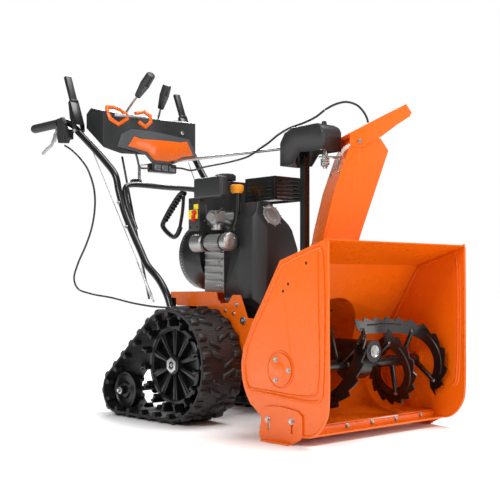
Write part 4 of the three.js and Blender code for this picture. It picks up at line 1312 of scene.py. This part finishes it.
    def caps(self) -> None:
        """Moulds the ribbed fuel cap and oil cap, and dresses the tank."""
        refined("fuel_tank", BLACK_NYLON, 8.0, 3)
        cap = Shape()
        profile = [(0, 826), (30, 826), (34, 823), (35, 818), (35, 803.8), (0, 803.8)]
        cap.spin(profile, (0, 775, 0), (0, 0, 1), 40)
        for k in range(self.fuel_cap_ribs):
            turn = math.tau * k / self.fuel_cap_ribs
            x, y = 34.6 * math.cos(turn), 775 + 34.6 * math.sin(turn)
            cap.rod((x, y, 804), (x, y, 821), 2.4, sides=8, bevel=0.6)
        made = cap.piece("fuel_cap_skin", Body.FUEL_CAP, DARK_ABS)
        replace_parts(made, "fuel_cap")
        oil = Shape()
        x, y = -98.0, 603.0
        profile = [(0, 770), (17, 770), (19.5, 768), (20, 764), (20, 748), (17, 742.5), (0, 742.5)]
        oil.spin(profile, (x, y, 0), (0, 0, 1), 36)
        for k in range(self.oil_cap_ribs):
            turn = math.tau * k / self.oil_cap_ribs
            px, py = x + 19.8 * math.cos(turn), y + 19.8 * math.sin(turn)
            oil.rod((px, py, 749), (px, py, 767), 2.0, sides=8, bevel=0.6)
        made = oil.piece("oil_cap_skin", Body.OIL_CAP, YELLOW_ABS)
        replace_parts(made, "oil_cap")

    def exhaust(self) -> None:
        """Dresses the muffler and adds the louvres of its guard."""
        refined("muffler", CAST_ALUMINIUM, 6.0, 3)
        refined("muffler_guard", BLACK_COAT, 1.0)
        louvres = Shape()
        for row in range(5):
            z = 722 + row * 12.5
            louvres.box((-50, 462.5, z + 5), (50, 465.5, z + 8), 0.8)
            louvres.box((-60.8, 480, z + 1), (-59.6, 592, z + 4), 0.5)
        louvres.piece("muffler_guard_louvres", Body.CHASSIS, BLACK_COAT)

    def build(self) -> None:
        """Builds the whole engine."""
        self.block()
        self.starter()
        self.blower()
        self.handle()
        self.covers()
        self.caps()
        self.exhaust()


@dataclass
class Handles:
    """The two bent handle tubes with their grips, levers and rods."""

    tube_radius: float = 12.5
    route: list[Point] = field(
        default_factory=lambda: [
            (-209, 812, 366), (-209, 831, 405), (-209, 876, 459), (-209, 948, 514), (-209, 985, 564),
            (-209, 1041, 640), (-209, 1085, 710), (-210, 1113, 775), (-214, 1130, 835),
            (-224, 1180, 890), (-256, 1302, 1004), (-259, 1340, 1035), (-261, 1378, 1050),
            (-262, 1418, 1053), (-262, 1500, 1053), (-262, 1615, 1053),
        ]
    )
    crossbar: list[Point] = field(
        default_factory=lambda: [
            (-186, 1046, 640), (-186, 1084, 705), (-186, 1108, 765), (-180, 1116, 792),
            (-162, 1119, 803), (0, 1119, 806), (162, 1119, 803), (180, 1116, 792), (186, 1108, 765),
            (186, 1084, 705), (186, 1046, 640),
        ]
    )

    def tubes(self) -> None:
        """Bends the handle tubes and the crossbar."""
        for side in Side:
            made = Shape().tube(mirrored(self.route, side), self.tube_radius, 10, 24)
            piece = made.piece(f"handlebar_{side.word}_skin", Body.CHASSIS, BLACK_COAT)
            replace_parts(piece, f"handlebar_{side.word}")
        bar = Shape().tube(self.crossbar, 10, 10, 20).piece("handle_crossbar_skin", Body.CHASSIS, BLACK_COAT)
        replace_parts(bar, "handle_crossbar")
        clamps = Shape()
        for side in Side:
            for y, z in ((1050, 648), (1098, 736)):
                x = 222.0 * side.value
                clamps.rod((x - 46 * side.value, y, z), (x, y, z), 4.5, sides=12)
                clamps.bolt((x, y, z), (side.value, 0, 0), 6.0)
        clamps.piece("crossbar_bolts", Body.CHASSIS, ZINC_STEEL)

    def grips(self) -> None:
        """Moulds the grips: a round ended sleeve with shallow rings."""
        for side in Side:
            profile: list[Point] = [(13.2, 0), (17.6, 0), (18.6, 3)]
            for k in range(13):
                profile += [(17.0, 8 + k * 13), (16.4, 12 + k * 13), (17.0, 16 + k * 13)]
            profile += [(16.6, 184), (14, 191), (9, 194.5), (0, 195)]
            made = Shape()
            made.spin(profile, (262 * side.value, 1428, 1053), (0, 1, 0), 32)
            piece = made.piece(f"grip_{side.word}_skin", Body.CHASSIS, SOFT_RUBBER)
            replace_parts(piece, f"grip_{side.word}")

    def levers(self) -> None:
        """Forms the clutch levers: a channel at the pivot and a sleeved blade above it."""
        for side in Side:
            x = 258.0 * side.value
            turn = Matrix.Translation((x, 1302, 1010)) @ Matrix.Rotation(math.radians(-23.5), 4, "X")
            body = f"clutch_lever_{side.word}"
            channel = Shape()
            for face in (-1, 1):
                low, high = sorted((16.4 * face, 18.7 * face))
                outline = [(-19, 16), (-19, 118), (-4, 118), (9, 60), (9, -6), (-12, -6)]
                channel.prism(outline, Plane.YZ, low, high, 0.7)
            channel.box((-18.7, -19, 16), (18.7, -16, 118), 0.9)
            channel.box((-12, -19, 112), (12, -13, 170), 1.5)
            channel.apply(turn)
            made = channel.piece(f"clutch_lever_{side.word}_skin", body, BLACK_COAT)
            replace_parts(made, f"clutch_lever_{side.word}")
            sleeve = Shape()
            sleeve.box((-15, -21, 116), (15, -6, 225), 5.5, 4)
            sleeve.box((-16.6, -22, 112), (16.6, -5, 124), 3.0, 3)
            sleeve.apply(turn)
            sleeve.piece(f"clutch_lever_sleeve_{side.word}", body, BLACK_NYLON)
            pivot = Shape()
            pivot.bolt((x + 18.8 * side.value, 1302, 1010), (side.value, 0, 0), 6.5)
            pivot.rod((x - 18.8, 1302, 1010), (x + 18.8, 1302, 1010), 4, sides=12)
            pivot.piece(f"clutch_lever_pivot_{side.word}", body, ZINC_STEEL)

    def trigger(self) -> None:
        """Casts the trigger under the right grip and its housing."""
        refined("lever_housing", DARK_ABS, 2.0, 3)
        made = Shape()
        made.tube(
            [(-277, 1412, 1024), (-277, 1440, 1000), (-277, 1462, 972), (-277, 1492, 961), (-277, 1524, 946)],
            6.0,
            8,
            14,
        )
        made.rod((-284, 1414, 1024), (-270, 1414, 1024), 11, sides=24, bevel=1.5)
        outline = [(1408, 1034), (1440, 1012), (1452, 984), (1440, 980), (1404, 1014)]
        made.prism(outline, Plane.YZ, -282, -272, 2.0)
        piece = made.piece("mode_trigger_skin", Body.MODE_TRIGGER, CAST_ALUMINIUM)
        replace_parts(piece, "mode_trigger")
        bolts = Shape()
        for y, z in ((1345, 985), (1385, 990), (1380, 1050)):
            bolts.bolt((-292.2, y, z), (-1, 0, 0), 5.0)
        bolts.piece("lever_housing_bolts", Body.CHASSIS, DARK_STEEL)

    def rods(self) -> None:
        """Draws the shift rod, the chute crank and the clutch cables."""
        rod = Shape().rod((-126, 1214, 918), (-126, 1046, 392), 4, sides=16)
        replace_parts(rod.piece("shift_rod_skin", Body.SHIFT_ROD, BLACK_COAT), "shift_rod")
        crank = Shape()
        bends = [(0, 428, 885), (52, 1350, 912), (52, 1352, 906), (52, 1352, 852)]
        crank.tube(bends, 6, sides=16, straight=True)
        crank.tube([(52, 1350, 850), (55, 1360, 850)], 6, sides=16, straight=True)
        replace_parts(crank.piece("chute_crank_skin", Body.CRANK, ZINC_STEEL), "chute_crank")
        knob = Shape()
        profile = [(0, 0), (9, 0), (12, 6), (13, 28), (12, 52), (8, 60), (0, 61)]
        knob.spin(profile, (52, 1347, 850), (3, 60, 2), 28)
        knob.piece("chute_crank_knob", Body.CRANK, BLACK_NYLON)
        for side in Side:
            top, bottom = mirrored([(-224, 1258, 930), (-192, 930, 384)], side)
            a, b = Vector(top), Vector(bottom)
            wire = Shape().rod(a, b, 1.6, sides=10)
            wire.rod(a.lerp(b, 0.74), a.lerp(b, 0.96), 3.2, 5.4, sides=16, bevel=0.8)
            wire.rod(a.lerp(b, 0.955), b, 4.0, sides=12, bevel=0.8)
            made = wire.piece(f"clutch_cable_{side.word}_skin", Body.CHASSIS, SILVER_PRINT)
            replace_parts(made, f"clutch_cable_{side.word}")

    def build(self) -> None:
        """Builds everything on the handles but the dash."""
        self.tubes()
        self.grips()
        self.levers()
        self.trigger()
        self.rods()


@dataclass
class Dash:
    """The moulded console with its plain front plate, trim, lamp and two levers."""

    half: float = 216.0
    bow: float = 62.0
    front: float = 1142.0

    def front_y(self, x: float) -> float:
        """Gives the y of the bowed front face at an x."""
        return self.front + self.bow * (x / self.half) ** 2

    def on_front(self, outline: Sequence[Point], thickness: float, lift: float, bevel: float) -> Shape:
        """Bends a flat plate onto the bowed front face.

        Args:
            outline: (x, z) points.
            thickness: the plate's thickness.
            lift: how far it stands out of the face.
            bevel: the width of its rounded edges.

        Returns:
            The shape.
        """
        shape = Shape()
        shape.prism(outline, Plane.XZ, -thickness, 0, bevel)
        for x in range(-210, 211, 15):
            whole = [*shape.bm.verts, *shape.bm.edges, *shape.bm.faces]
            bmesh.ops.bisect_plane(shape.bm, geom=whole, dist=1e-4, plane_co=(x, 0, 0), plane_no=(1, 0, 0))
        for vert in shape.bm.verts:
            vert.co.y += self.front_y(vert.co.x) - lift
        return shape

    def console(self) -> None:
        """Dresses the console's shell."""
        refined("dash_console", DARK_ABS, 3.0, 3)

    def plate(self) -> None:
        """Builds the bezel and the orange plate on the front."""
        bezel = [(-175, 947), (-160, 995), (-127, 1014), (-32, 1010), (83, 1004), (150, 1004), (206, 954)]
        bezel += [(170, 926), (120, 922), (44, 895), (-45, 896), (-73, 925), (-137, 938)]
        self.on_front(bezel, 10, 1, 2.5).piece("dash_bezel", Body.CHASSIS, GREY_ABS)
        plate = [(-140, 950), (-118, 987), (-92, 979), (89, 984), (132, 993), (176, 945), (103, 930)]
        plate += [(34, 904), (-39, 905), (-67, 932)]
        self.on_front(plate, 5, 9.5, 1.2).piece("dash_plate", Body.CHASSIS, ORANGE)

    def trim(self) -> None:
        """Bends the two open orange brackets and the bar between them over the front."""
        loops = Shape()
        right = [(-140, 1066), (-151, 1086), (-168, 1096), (-192, 1095)]
        right += [(-200, 1078), (-194, 1048), (-167, 1030), (-136, 1052)]
        left = [(-101, 1076), (-62, 1086), (-48, 1070), (-48, 1046), (-70, 1026), (-93, 1042)]
        for way in (right, left):
            line = [Vector((x, self.front_y(x) - 2 + max(0.0, z - 1066) * 0.9, z)) for x, z in way]
            for a, b in zip(line, line[1:]):
                reach = (b - a).normalized() * 3.5
                loops.rod(a - reach, b + reach, 7.6, sides=6, bevel=1.4)
        loops.piece("dash_trim_loops", Body.CHASSIS, ORANGE)
        bar = Shape()
        bar.tube([(x, self.front_y(x) - 1, 1063) for x in range(-180, -64, 8)], 6.5, sides=12, straight=True)
        bar.piece("dash_trim_bar", Body.CHASSIS, SILVER_PRINT)
        bolt = Shape()
        y = self.front_y(113)
        bolt.rod((113, y + 1, 1025), (113, y - 4, 1025), 8, sides=24, bevel=1.5)
        bolt.piece("dash_bolt", Body.CHASSIS, ZINC_STEEL)

    def lamp(self) -> None:
        """Builds the lamp below the plate and the wire guard beside it."""
        body = Shape()
        body.box((-48, 1130, 862), (66, 1166, 896), 5.0, 3)
        body.piece("headlight_body", Body.CHASSIS, BLACK_NYLON)
        lens = Shape()
        for x in (-40, -6, 28):
            lens.box((x, 1127.5, 868), (x + 29, 1131, 890), 2.0)
        lens.piece("headlight_lens", Body.CHASSIS, LAMP_LENS)
        guard = Shape()
        way = [(-132, 1166, 936), (-106, 1160, 929), (-98, 1156, 905)]
        way += [(-92, 1152, 877), (-86, 1150, 874), (-44, 1146, 876)]
        guard.tube(way, 4, 6, 10)
        guard.piece("dash_wire_guard", Body.CHASSIS, DARK_STEEL)

    def lever(self, name: str, body: Body, pivot: Point, knee: Point, knob: tuple[Point, Point]) -> None:
        """Builds one control lever: a zinc plated rod and a two-tone faceted knob.

        Args:
            name: the CAD node's name.
            body: the body it moves with.
            pivot: the middle of its pivot.
            knee: the (y, z) of its bend.
            knob: the (y, z) of the knob's foot and of its top.
        """
        x = pivot[0]
        low, high = (Vector((x, *p)) for p in knob)
        rod = Shape()
        rod.rod((x - 10, pivot[1], pivot[2]), (x + 10, pivot[1], pivot[2]), 9, sides=24, bevel=1)
        rod.tube([pivot, (x, *knee), low.lerp(high, 0.2)], 4, 8, 12)
        made = rod.piece(f"{name}_skin", body, ZINC_STEEL)
        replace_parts(made, name)
        grip = Shape()
        along = high - low
        grip.rod(low, low + along * 0.55, 12, 19, sides=8, bevel=2.5, segments=3)
        grip.rod(low + along * 0.5, high, 19.5, 17.5, sides=8, bevel=4.0, segments=3)
        grip.piece(f"{name}_knob", body, DARK_ABS)
        pad = Shape()
        side = Vector((0, -along.z, along.y)).normalized()
        a, b = low + along * 0.08 + side * 8, low + along * 0.6 + side * 13
        pad.rod(a, b, 7, 11, sides=6, bevel=1.5)
        pad.piece(f"{name}_knob_pad", body, GREY_ABS)

    def build(self) -> None:
        """Builds the dash."""
        self.console()
        self.plate()
        self.trim()
        self.lamp()
        self.lever(
            "speed_lever", Body.SPEED_LEVER, (-115, 1262, 1030), (1192, 1092), ((1133, 1132), (1048, 1199))
        )
        self.lever(
            "deflector_lever",
            Body.DEFLECTOR_LEVER,
            (35, 1240, 1020), (1206, 1080),
            ((1192, 1112), (1150, 1196)),
        )
        pad = Shape()
        pad.box((-206, 1222, 1084.5), (-150, 1276, 1088), 1.2)
        middle = Matrix.Translation((0, 1250, 1086))
        pad.apply(middle @ Matrix.Rotation(math.radians(14), 4, "X") @ middle.inverted())
        pad.piece("dash_pad", Body.CHASSIS, GREY_ABS)


@dataclass
class Track:
    """One triangular track: belt with tread, drive wheel and idler wheel."""

    side: Side
    axle: tuple[float, float] = (686.0, 187.0)
    idler: tuple[float, float] = (976.0, 84.0)
    big: float = 177.0
    small: float = 74.0
    inner: float = 158.0
    outer: float = 321.0
    pitch_count: int = 24
    band: float = 7.0
    band_steps: int = 120
    inner_lugs: int = 20
    spokes: int = 10
    bars: int = 15

    def point(self, distance: float) -> tuple[Vector, Vector, float]:
        """Gives the belt's outer line at a distance along it.

        Args:
            distance: millimetres along the loop.

        Returns:
            The (y, z) place, the outward (y, z) direction and the loop's length.
        """
        axle, idler = Vector(self.axle), Vector(self.idler)
        way = idler - axle
        span = way.length
        heading = math.atan2(way.y, way.x)
        lean = math.acos((self.big - self.small) / span)
        straight = math.sqrt(span**2 - (self.big - self.small) ** 2)
        big_arc, small_arc = (math.tau - 2 * lean) * self.big, 2 * lean * self.small
        total = big_arc + small_arc + 2 * straight
        left = distance % total

        def place(
            centre: Vector, radius: float, angle: float, run: float
        ) -> tuple[Vector, Vector, float]:
            """Gives a place on a wheel's arc, or on the straight run that leaves it."""
            out = Vector((math.cos(angle), math.sin(angle)))
            return centre + out * radius + Vector((-out.y, out.x)) * run, out, total

        if left < big_arc:
            return place(axle, self.big, heading + lean + left / self.big, 0)
        left -= big_arc
        if left < straight:
            return place(axle, self.big, heading - lean, left)
        left -= straight
        if left < small_arc:
            return place(idler, self.small, heading - lean + left / self.small, 0)
        return place(idler, self.small, heading + lean, left - small_arc)

    def block(
        self,
        shape: Shape,
        distance: float,
        length: float,
        x0: float,
        x1: float,
        depth: tuple[float, float],
        skew: float = 0.0,
    ) -> None:
        """Adds one tapered rubber block to the belt.

        Args:
            shape: the shape to add to.
            distance: the block's middle along the loop.
            length: its length along the loop at its foot.
            x0: its near end across the belt.
            x1: its far end across the belt.
            depth: how far its foot and its top stand out of the outer line.
            skew: how far its far end is moved along the loop.
        """
        place, out, _ = self.point(distance)
        along = Vector((-out.y, out.x))
        foot, top = depth
        made = bmesh.ops.create_cube(shape.bm, size=1.0)
        for vert in made["verts"]:
            high = vert.co.z > 0
            far = vert.co.x > 0
            run = vert.co.y * length * (0.62 if high else 1.0) + (skew if far else -skew)
            inset = 3.0 if high else 0.0
            x = (x1 - inset) if far else (x0 + inset)
            at = place + out * (top if high else foot) + along * run
            vert.co = Vector((x * self.side.value, at.x, at.y))
        shape.round_edges(made["verts"], 1.2, 1)

    def belt(self) -> None:
        """Builds the belt: a band, staggered tread blocks, edge lugs and inner drive lugs."""
        shape = Shape()
        total = self.point(0)[2]
        steps = self.band_steps
        rings = []
        for offset in (0.0, -self.band):
            ring = []
            for k in range(steps):
                place, out, _ = self.point(total * k / steps)
                at = place + out * offset
                ring.append((at.x, at.y))
            rings.append(ring)
        edges = []
        outside, inside = rings
        corners = (
            (outside, self.inner),
            (outside, self.outer),
            (inside, self.outer),
            (inside, self.inner),
        )
        for ring, x in corners:
            verts = [shape.bm.verts.new((x * self.side.value, y, z)) for y, z in ring]
            edges.append([shape.bm.edges.new((verts[i], verts[(i + 1) % steps])) for i in range(steps)])
        for first, second in zip(edges, edges[1:] + edges[:1]):
            bmesh.ops.bridge_loops(shape.bm, edges=[*first, *second])
        pitch = total / self.pitch_count
        for k in range(self.pitch_count):
            s = k * pitch
            lean = 9.0 if k % 2 else -9.0
            self.block(shape, s, 26, self.outer - 34, self.outer, (-0.6, 9.6))
            self.block(shape, s, 26, self.inner, self.inner + 34, (-0.6, 9.6))
            if k % 2:
                self.block(shape, s, 20, self.inner + 38, self.inner + 84, (-0.6, 9.4), lean)
                self.block(shape, s + pitch * 0.45, 13, self.inner + 84, self.inner + 122, (-0.6, 7.0), -lean)
            else:
                self.block(shape, s, 20, self.inner + 80, self.inner + 126, (-0.6, 9.4), lean)
                self.block(shape, s + pitch * 0.45, 13, self.inner + 40, self.inner + 78, (-0.6, 7.0), -lean)
            self.block(shape, s + pitch / 2, 8, self.inner + 2, self.inner + 30, (-0.6, 4.0))
            self.block(shape, s + pitch / 2, 8, self.outer - 30, self.outer - 2, (-0.6, 4.0))
        for k in range(self.inner_lugs):
            s = (k + 0.5) * total / self.inner_lugs
            for x0, x1 in ((self.outer - 34, self.outer - 2), (self.inner + 2, self.inner + 34)):
                self.block(shape, s, 19, x0, x1, (-6.0, -21.0))
        made = shape.piece(f"track_belt_{self.side.word}_skin", Body.TRACK_FRAME, TREAD_RUBBER)
        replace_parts(made, f"track_belt_{self.side.word}")

    def wheel(self) -> None:
        """Moulds the drive wheel: rim, ten ribbed spokes on a web, toothed bars and a bright hub ring."""
        y, z = self.axle
        s = self.side.value
        body = f"drive_wheel_{self.side.word}"
        shape = Shape()
        shape.spin(
            [
                *((121, 185), (128, 185), (128, 294), (126, 296), (116, 296)),
                *((114, 293), (114, 288), (121, 286), (121, 185)),
            ],
            (0, y, z),
            (s, 0, 0),
            60,
        )
        shape.spin([(0, 236), (122, 236), (122, 264), (0, 268), (0, 236)], (0, y, z), (s, 0, 0), 60)
        hub = [(0, 170), (31, 170), (34, 284), (30, 300), (24, 304), (0, 304)]
        shape.spin(hub, (0, y, z), (s, 0, 0), 40)
        shape.spin([(112, 262), (118, 262), (118, 294), (112, 290), (112, 262)], (0, y, z), (s, 0, 0), 60)
        shape.rod((50 * s, y, z), (175 * s, y, z), 12, sides=24, bevel=1)
        for k in range(self.spokes):
            turn = Matrix.Rotation(math.radians(360 / self.spokes * k), 4, "X")
            spoke = Shape()
            outline = [(-5, 28), (5, 28), (7, 60), (13, 116), (-13, 116), (-7, 60)]
            spoke.prism(outline, Plane.YZ, *sorted((258.0 * s, 291.0 * s)), 2.0)
            spoke.prism(
                [(-2, 34), (2, 34), (4, 116), (-4, 116)],
                Plane.YZ,
                *sorted((288.0 * s, 294.0 * s)),
                1.2,
            )
            shape.join(spoke.apply(Matrix.Translation((0, y, z)) @ turn))
        for k in range(self.bars):
            turn = Matrix.Rotation(math.radians(360 / self.bars * k), 4, "X")
            bar = Shape()
            low, high = sorted((185.0 * s, 317.0 * s))
            bar.box((low, -3.5, 126), (high, 3.5, 151.5), 1.2)
            bar.box((low, -7.5, 146), (high, 7.5, 151.8), 1.2)
            ends = sorted((297.0 * s, 317.0 * s))
            bar.box((ends[0], -7, 124), (ends[1], 7, 131), 1.2)
            shape.join(bar.apply(Matrix.Translation((0, y, z)) @ turn))
        made = shape.piece(f"drive_wheel_{self.side.word}_skin", body, BLACK_NYLON)
        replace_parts(made, f"drive_wheel_{self.side.word}")
        ring = Shape()
        profile = [(14, 304.2), (21, 304.2), (24, 302), (25, 306), (16, 307.5), (14, 306), (14, 304.2)]
        ring.spin(profile, (0, y, z), (s, 0, 0), 6)
        ring.bolt((304 * s, y, z), (s, 0, 0), 5.0)
        ring.piece(f"drive_wheel_hub_ring_{self.side.word}", body, SILVER_PRINT)

    def idler_wheel(self) -> None:
        """Dresses the idler wheel and fits its axle bolt."""
        refined(f"idler_wheel_{self.side.word}", BLACK_NYLON, 2.0, 3)
        refined(f"track_arm_{self.side.word}", BLACK_COAT, 1.5)
        y, z = self.idler
        s = self.side.value
        bolt = Shape()
        bolt.rod((298.4 * s, y, z), (303 * s, y, z), 13, sides=28, bevel=1.5)
        bolt.bolt((302.5 * s, y, z), (s, 0, 0), 9.0, False)
        bolt.piece(f"idler_bolt_{self.side.word}", Body.TRACK_FRAME, ZINC_STEEL)

    def build(self) -> None:
        """Builds the track."""
        self.belt()
        self.wheel()
        self.idler_wheel()


@dataclass
class Cables:
    """The free control cables, drawn along their whole routes, and the fixed one over the head."""

    radius: float = 3.5
    mode: list[Point] = field(
        default_factory=lambda: [
            (-274, 1372, 962), (-275, 1330, 944), (-275, 1267, 905), (-278, 1209, 857),
            (-280, 1167, 785), (-282, 1158, 724), (-284, 1174, 650), (-284, 1213, 586),
            (-282, 1270, 519), (-278, 1302, 465), (-270, 1292, 431), (-255, 1235, 412),
            (-235, 1120, 397), (-215, 1027, 380), (-200, 930, 369), (-194, 846.5, 366),
        ]
    )
    rear: list[Point] = field(
        default_factory=lambda: [
            (40, 1138, 893), (40, 1112, 882), (40, 1067, 875), (40, 1014, 863), (36, 931, 868),
            (28, 800, 871), (8, 700, 873), (-10, 640, 876), (-16, 580, 894), (-14, 540, 910),
            (-12, 500, 930), (-8, 450, 947), (-4, 390, 957), (-1, 340, 970), (0, 305, 986),
        ]
    )
    front: list[Point] = field(
        default_factory=lambda: [
            (0, 301, 988), (30, 285, 1006), (60, 266, 1014), (88, 248, 1005), (106, 236, 984),
            (115, 230, 964), (118, 228.4, 951.5),
        ]
    )

    def cable(self, name: str, node: str, points: Sequence[Point]) -> None:
        """Makes one free cable along its route.

        Args:
            name: the piece's name.
            node: the CAD node that it stands for.
            points: its route.
        """
        made = Shape().tube(points, self.radius, 6, 12).piece(name, Body.CHASSIS, CABLE_SHEATH)
        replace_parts(made, node)
        path = [TO_ROW @ p for p in smooth_path(points, 6)]

    def build(self) -> None:
        """Makes the cables."""
        self.cable("mode_cable_skin", "mode_cable", self.mode)
        self.cable("deflector_cable_rear_skin", "deflector_cable_rear", self.rear)
        made = Shape().tube(self.front, self.radius, 8, 12)
        piece = made.piece("deflector_cable_front_skin", Body.CHUTE, CABLE_SHEATH)
        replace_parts(piece, "deflector_cable_front")


@dataclass
class Studio:
    """A pale floor, soft lights and the camera."""

    camera_place: tuple[float, float, float] = (-2213.0, -1779.0, 446.0)
    azimuth: float = 42.36
    lens: float = 70.2
    shift: float = 0.068
    middle: tuple[float, float, float] = (0.0, -0.1, 0.5)  # metres in the row frame
    floor_radius: float = 40.0
    glow: float = 0.22
    sun: float = 3.0
    sun_spread: float = 40.0

    def camera(self) -> None:
        """Places the camera."""
        data = bpy.data.cameras.new("camera")
        data.lens = self.lens
        data.sensor_width = 36.0
        data.shift_y = self.shift
        data.clip_end = 100.0
        made = bpy.data.objects.new("camera", data)
        made.location = TO_ROW @ Vector(self.camera_place)
        made.rotation_euler = (math.radians(90), 0, math.radians(-self.azimuth))
        bpy.context.scene.collection.objects.link(made)
        bpy.context.scene.camera = made

    def light(self, name: str, place: Point, size: float, power: float) -> None:
        """Hangs one square soft light that faces the machine.

        Args:
            name: the light's name.
            place: its place in metres in the row frame.
            size: its width in metres.
            power: its power in watts.
        """
        data = bpy.data.lights.new(name, "AREA")
        data.size = size
        data.energy = power
        made = bpy.data.objects.new(name, data)
        made.location = place
        way = Vector(self.middle) - Vector(place)
        made.rotation_euler = way.to_track_quat("-Z", "Y").to_euler()
        bpy.context.scene.collection.objects.link(made)

    def build(self) -> None:
        """Builds the floor, the lights and the camera."""
        self.camera()
        bm = bmesh.new()
        bmesh.ops.create_circle(bm, cap_ends=True, segments=64, radius=self.floor_radius)
        mesh = bpy.data.meshes.new("floor")
        bm.to_mesh(mesh)
        bm.free()
        floor = bpy.data.objects.new("floor", mesh)
        floor.location.z = -0.0005
        bpy.context.scene.collection.objects.link(floor)
        material = bpy.data.materials.new("pale_floor")
        material.use_nodes = True
        shader = material.node_tree.nodes["Principled BSDF"]
        shader.inputs["Base Color"].default_value = linear("#fcfcfc")
        shader.inputs["Roughness"].default_value = 0.7
        shader.inputs["Specular IOR Level"].default_value = 0.1
        mesh.materials.append(material)
        world = bpy.data.worlds.new("studio")
        world.use_nodes = True
        tree = world.node_tree
        glow = tree.nodes["Background"]
        glow.inputs[0].default_value = (1, 1, 1, 1)
        glow.inputs[1].default_value = self.glow
        seen = add_node(tree, "ShaderNodeBackground", {}, {0: (1, 1, 1, 1), 1: 1.0})
        ray = add_node(tree, "ShaderNodeLightPath", {}, {})
        sockets = {0: ray.outputs["Is Camera Ray"], 1: glow.outputs[0], 2: seen.outputs[0]}
        mixed = add_node(tree, "ShaderNodeMixShader", {}, sockets)
        tree.links.new(mixed.outputs[0], tree.nodes["World Output"].inputs[0])
        bpy.context.scene.world = world
        sun = bpy.data.lights.new("overhead", "SUN")
        sun.energy = self.sun
        sun.angle = math.radians(self.sun_spread)
        made = bpy.data.objects.new("overhead", sun)
        made.rotation_euler = (math.radians(14), math.radians(16), 0)
        bpy.context.scene.collection.objects.link(made)
        self.light("key", (-3.4, -1.6, 2.6), 1.3, 78)
        self.light("fill", (0.6, -3.8, 1.4), 1.5, 34)
        self.light("back", (1.8, 3.0, 3.0), 1.4, 80)
        bpy.context.scene.view_settings.view_transform = "Standard"


def main() -> None:
    """Builds the scene: camera and cables first, then the machine from front to back."""
    Studio().build()
    Cables().build()
    AugerHousing().build()
    Auger().build()
    Chute().build()
    Frame().build()
    Engine().build()
    Handles().build()
    Dash().build()
    for side in Side:
        Track(side).build()


if __name__ == "__main__":
    main()
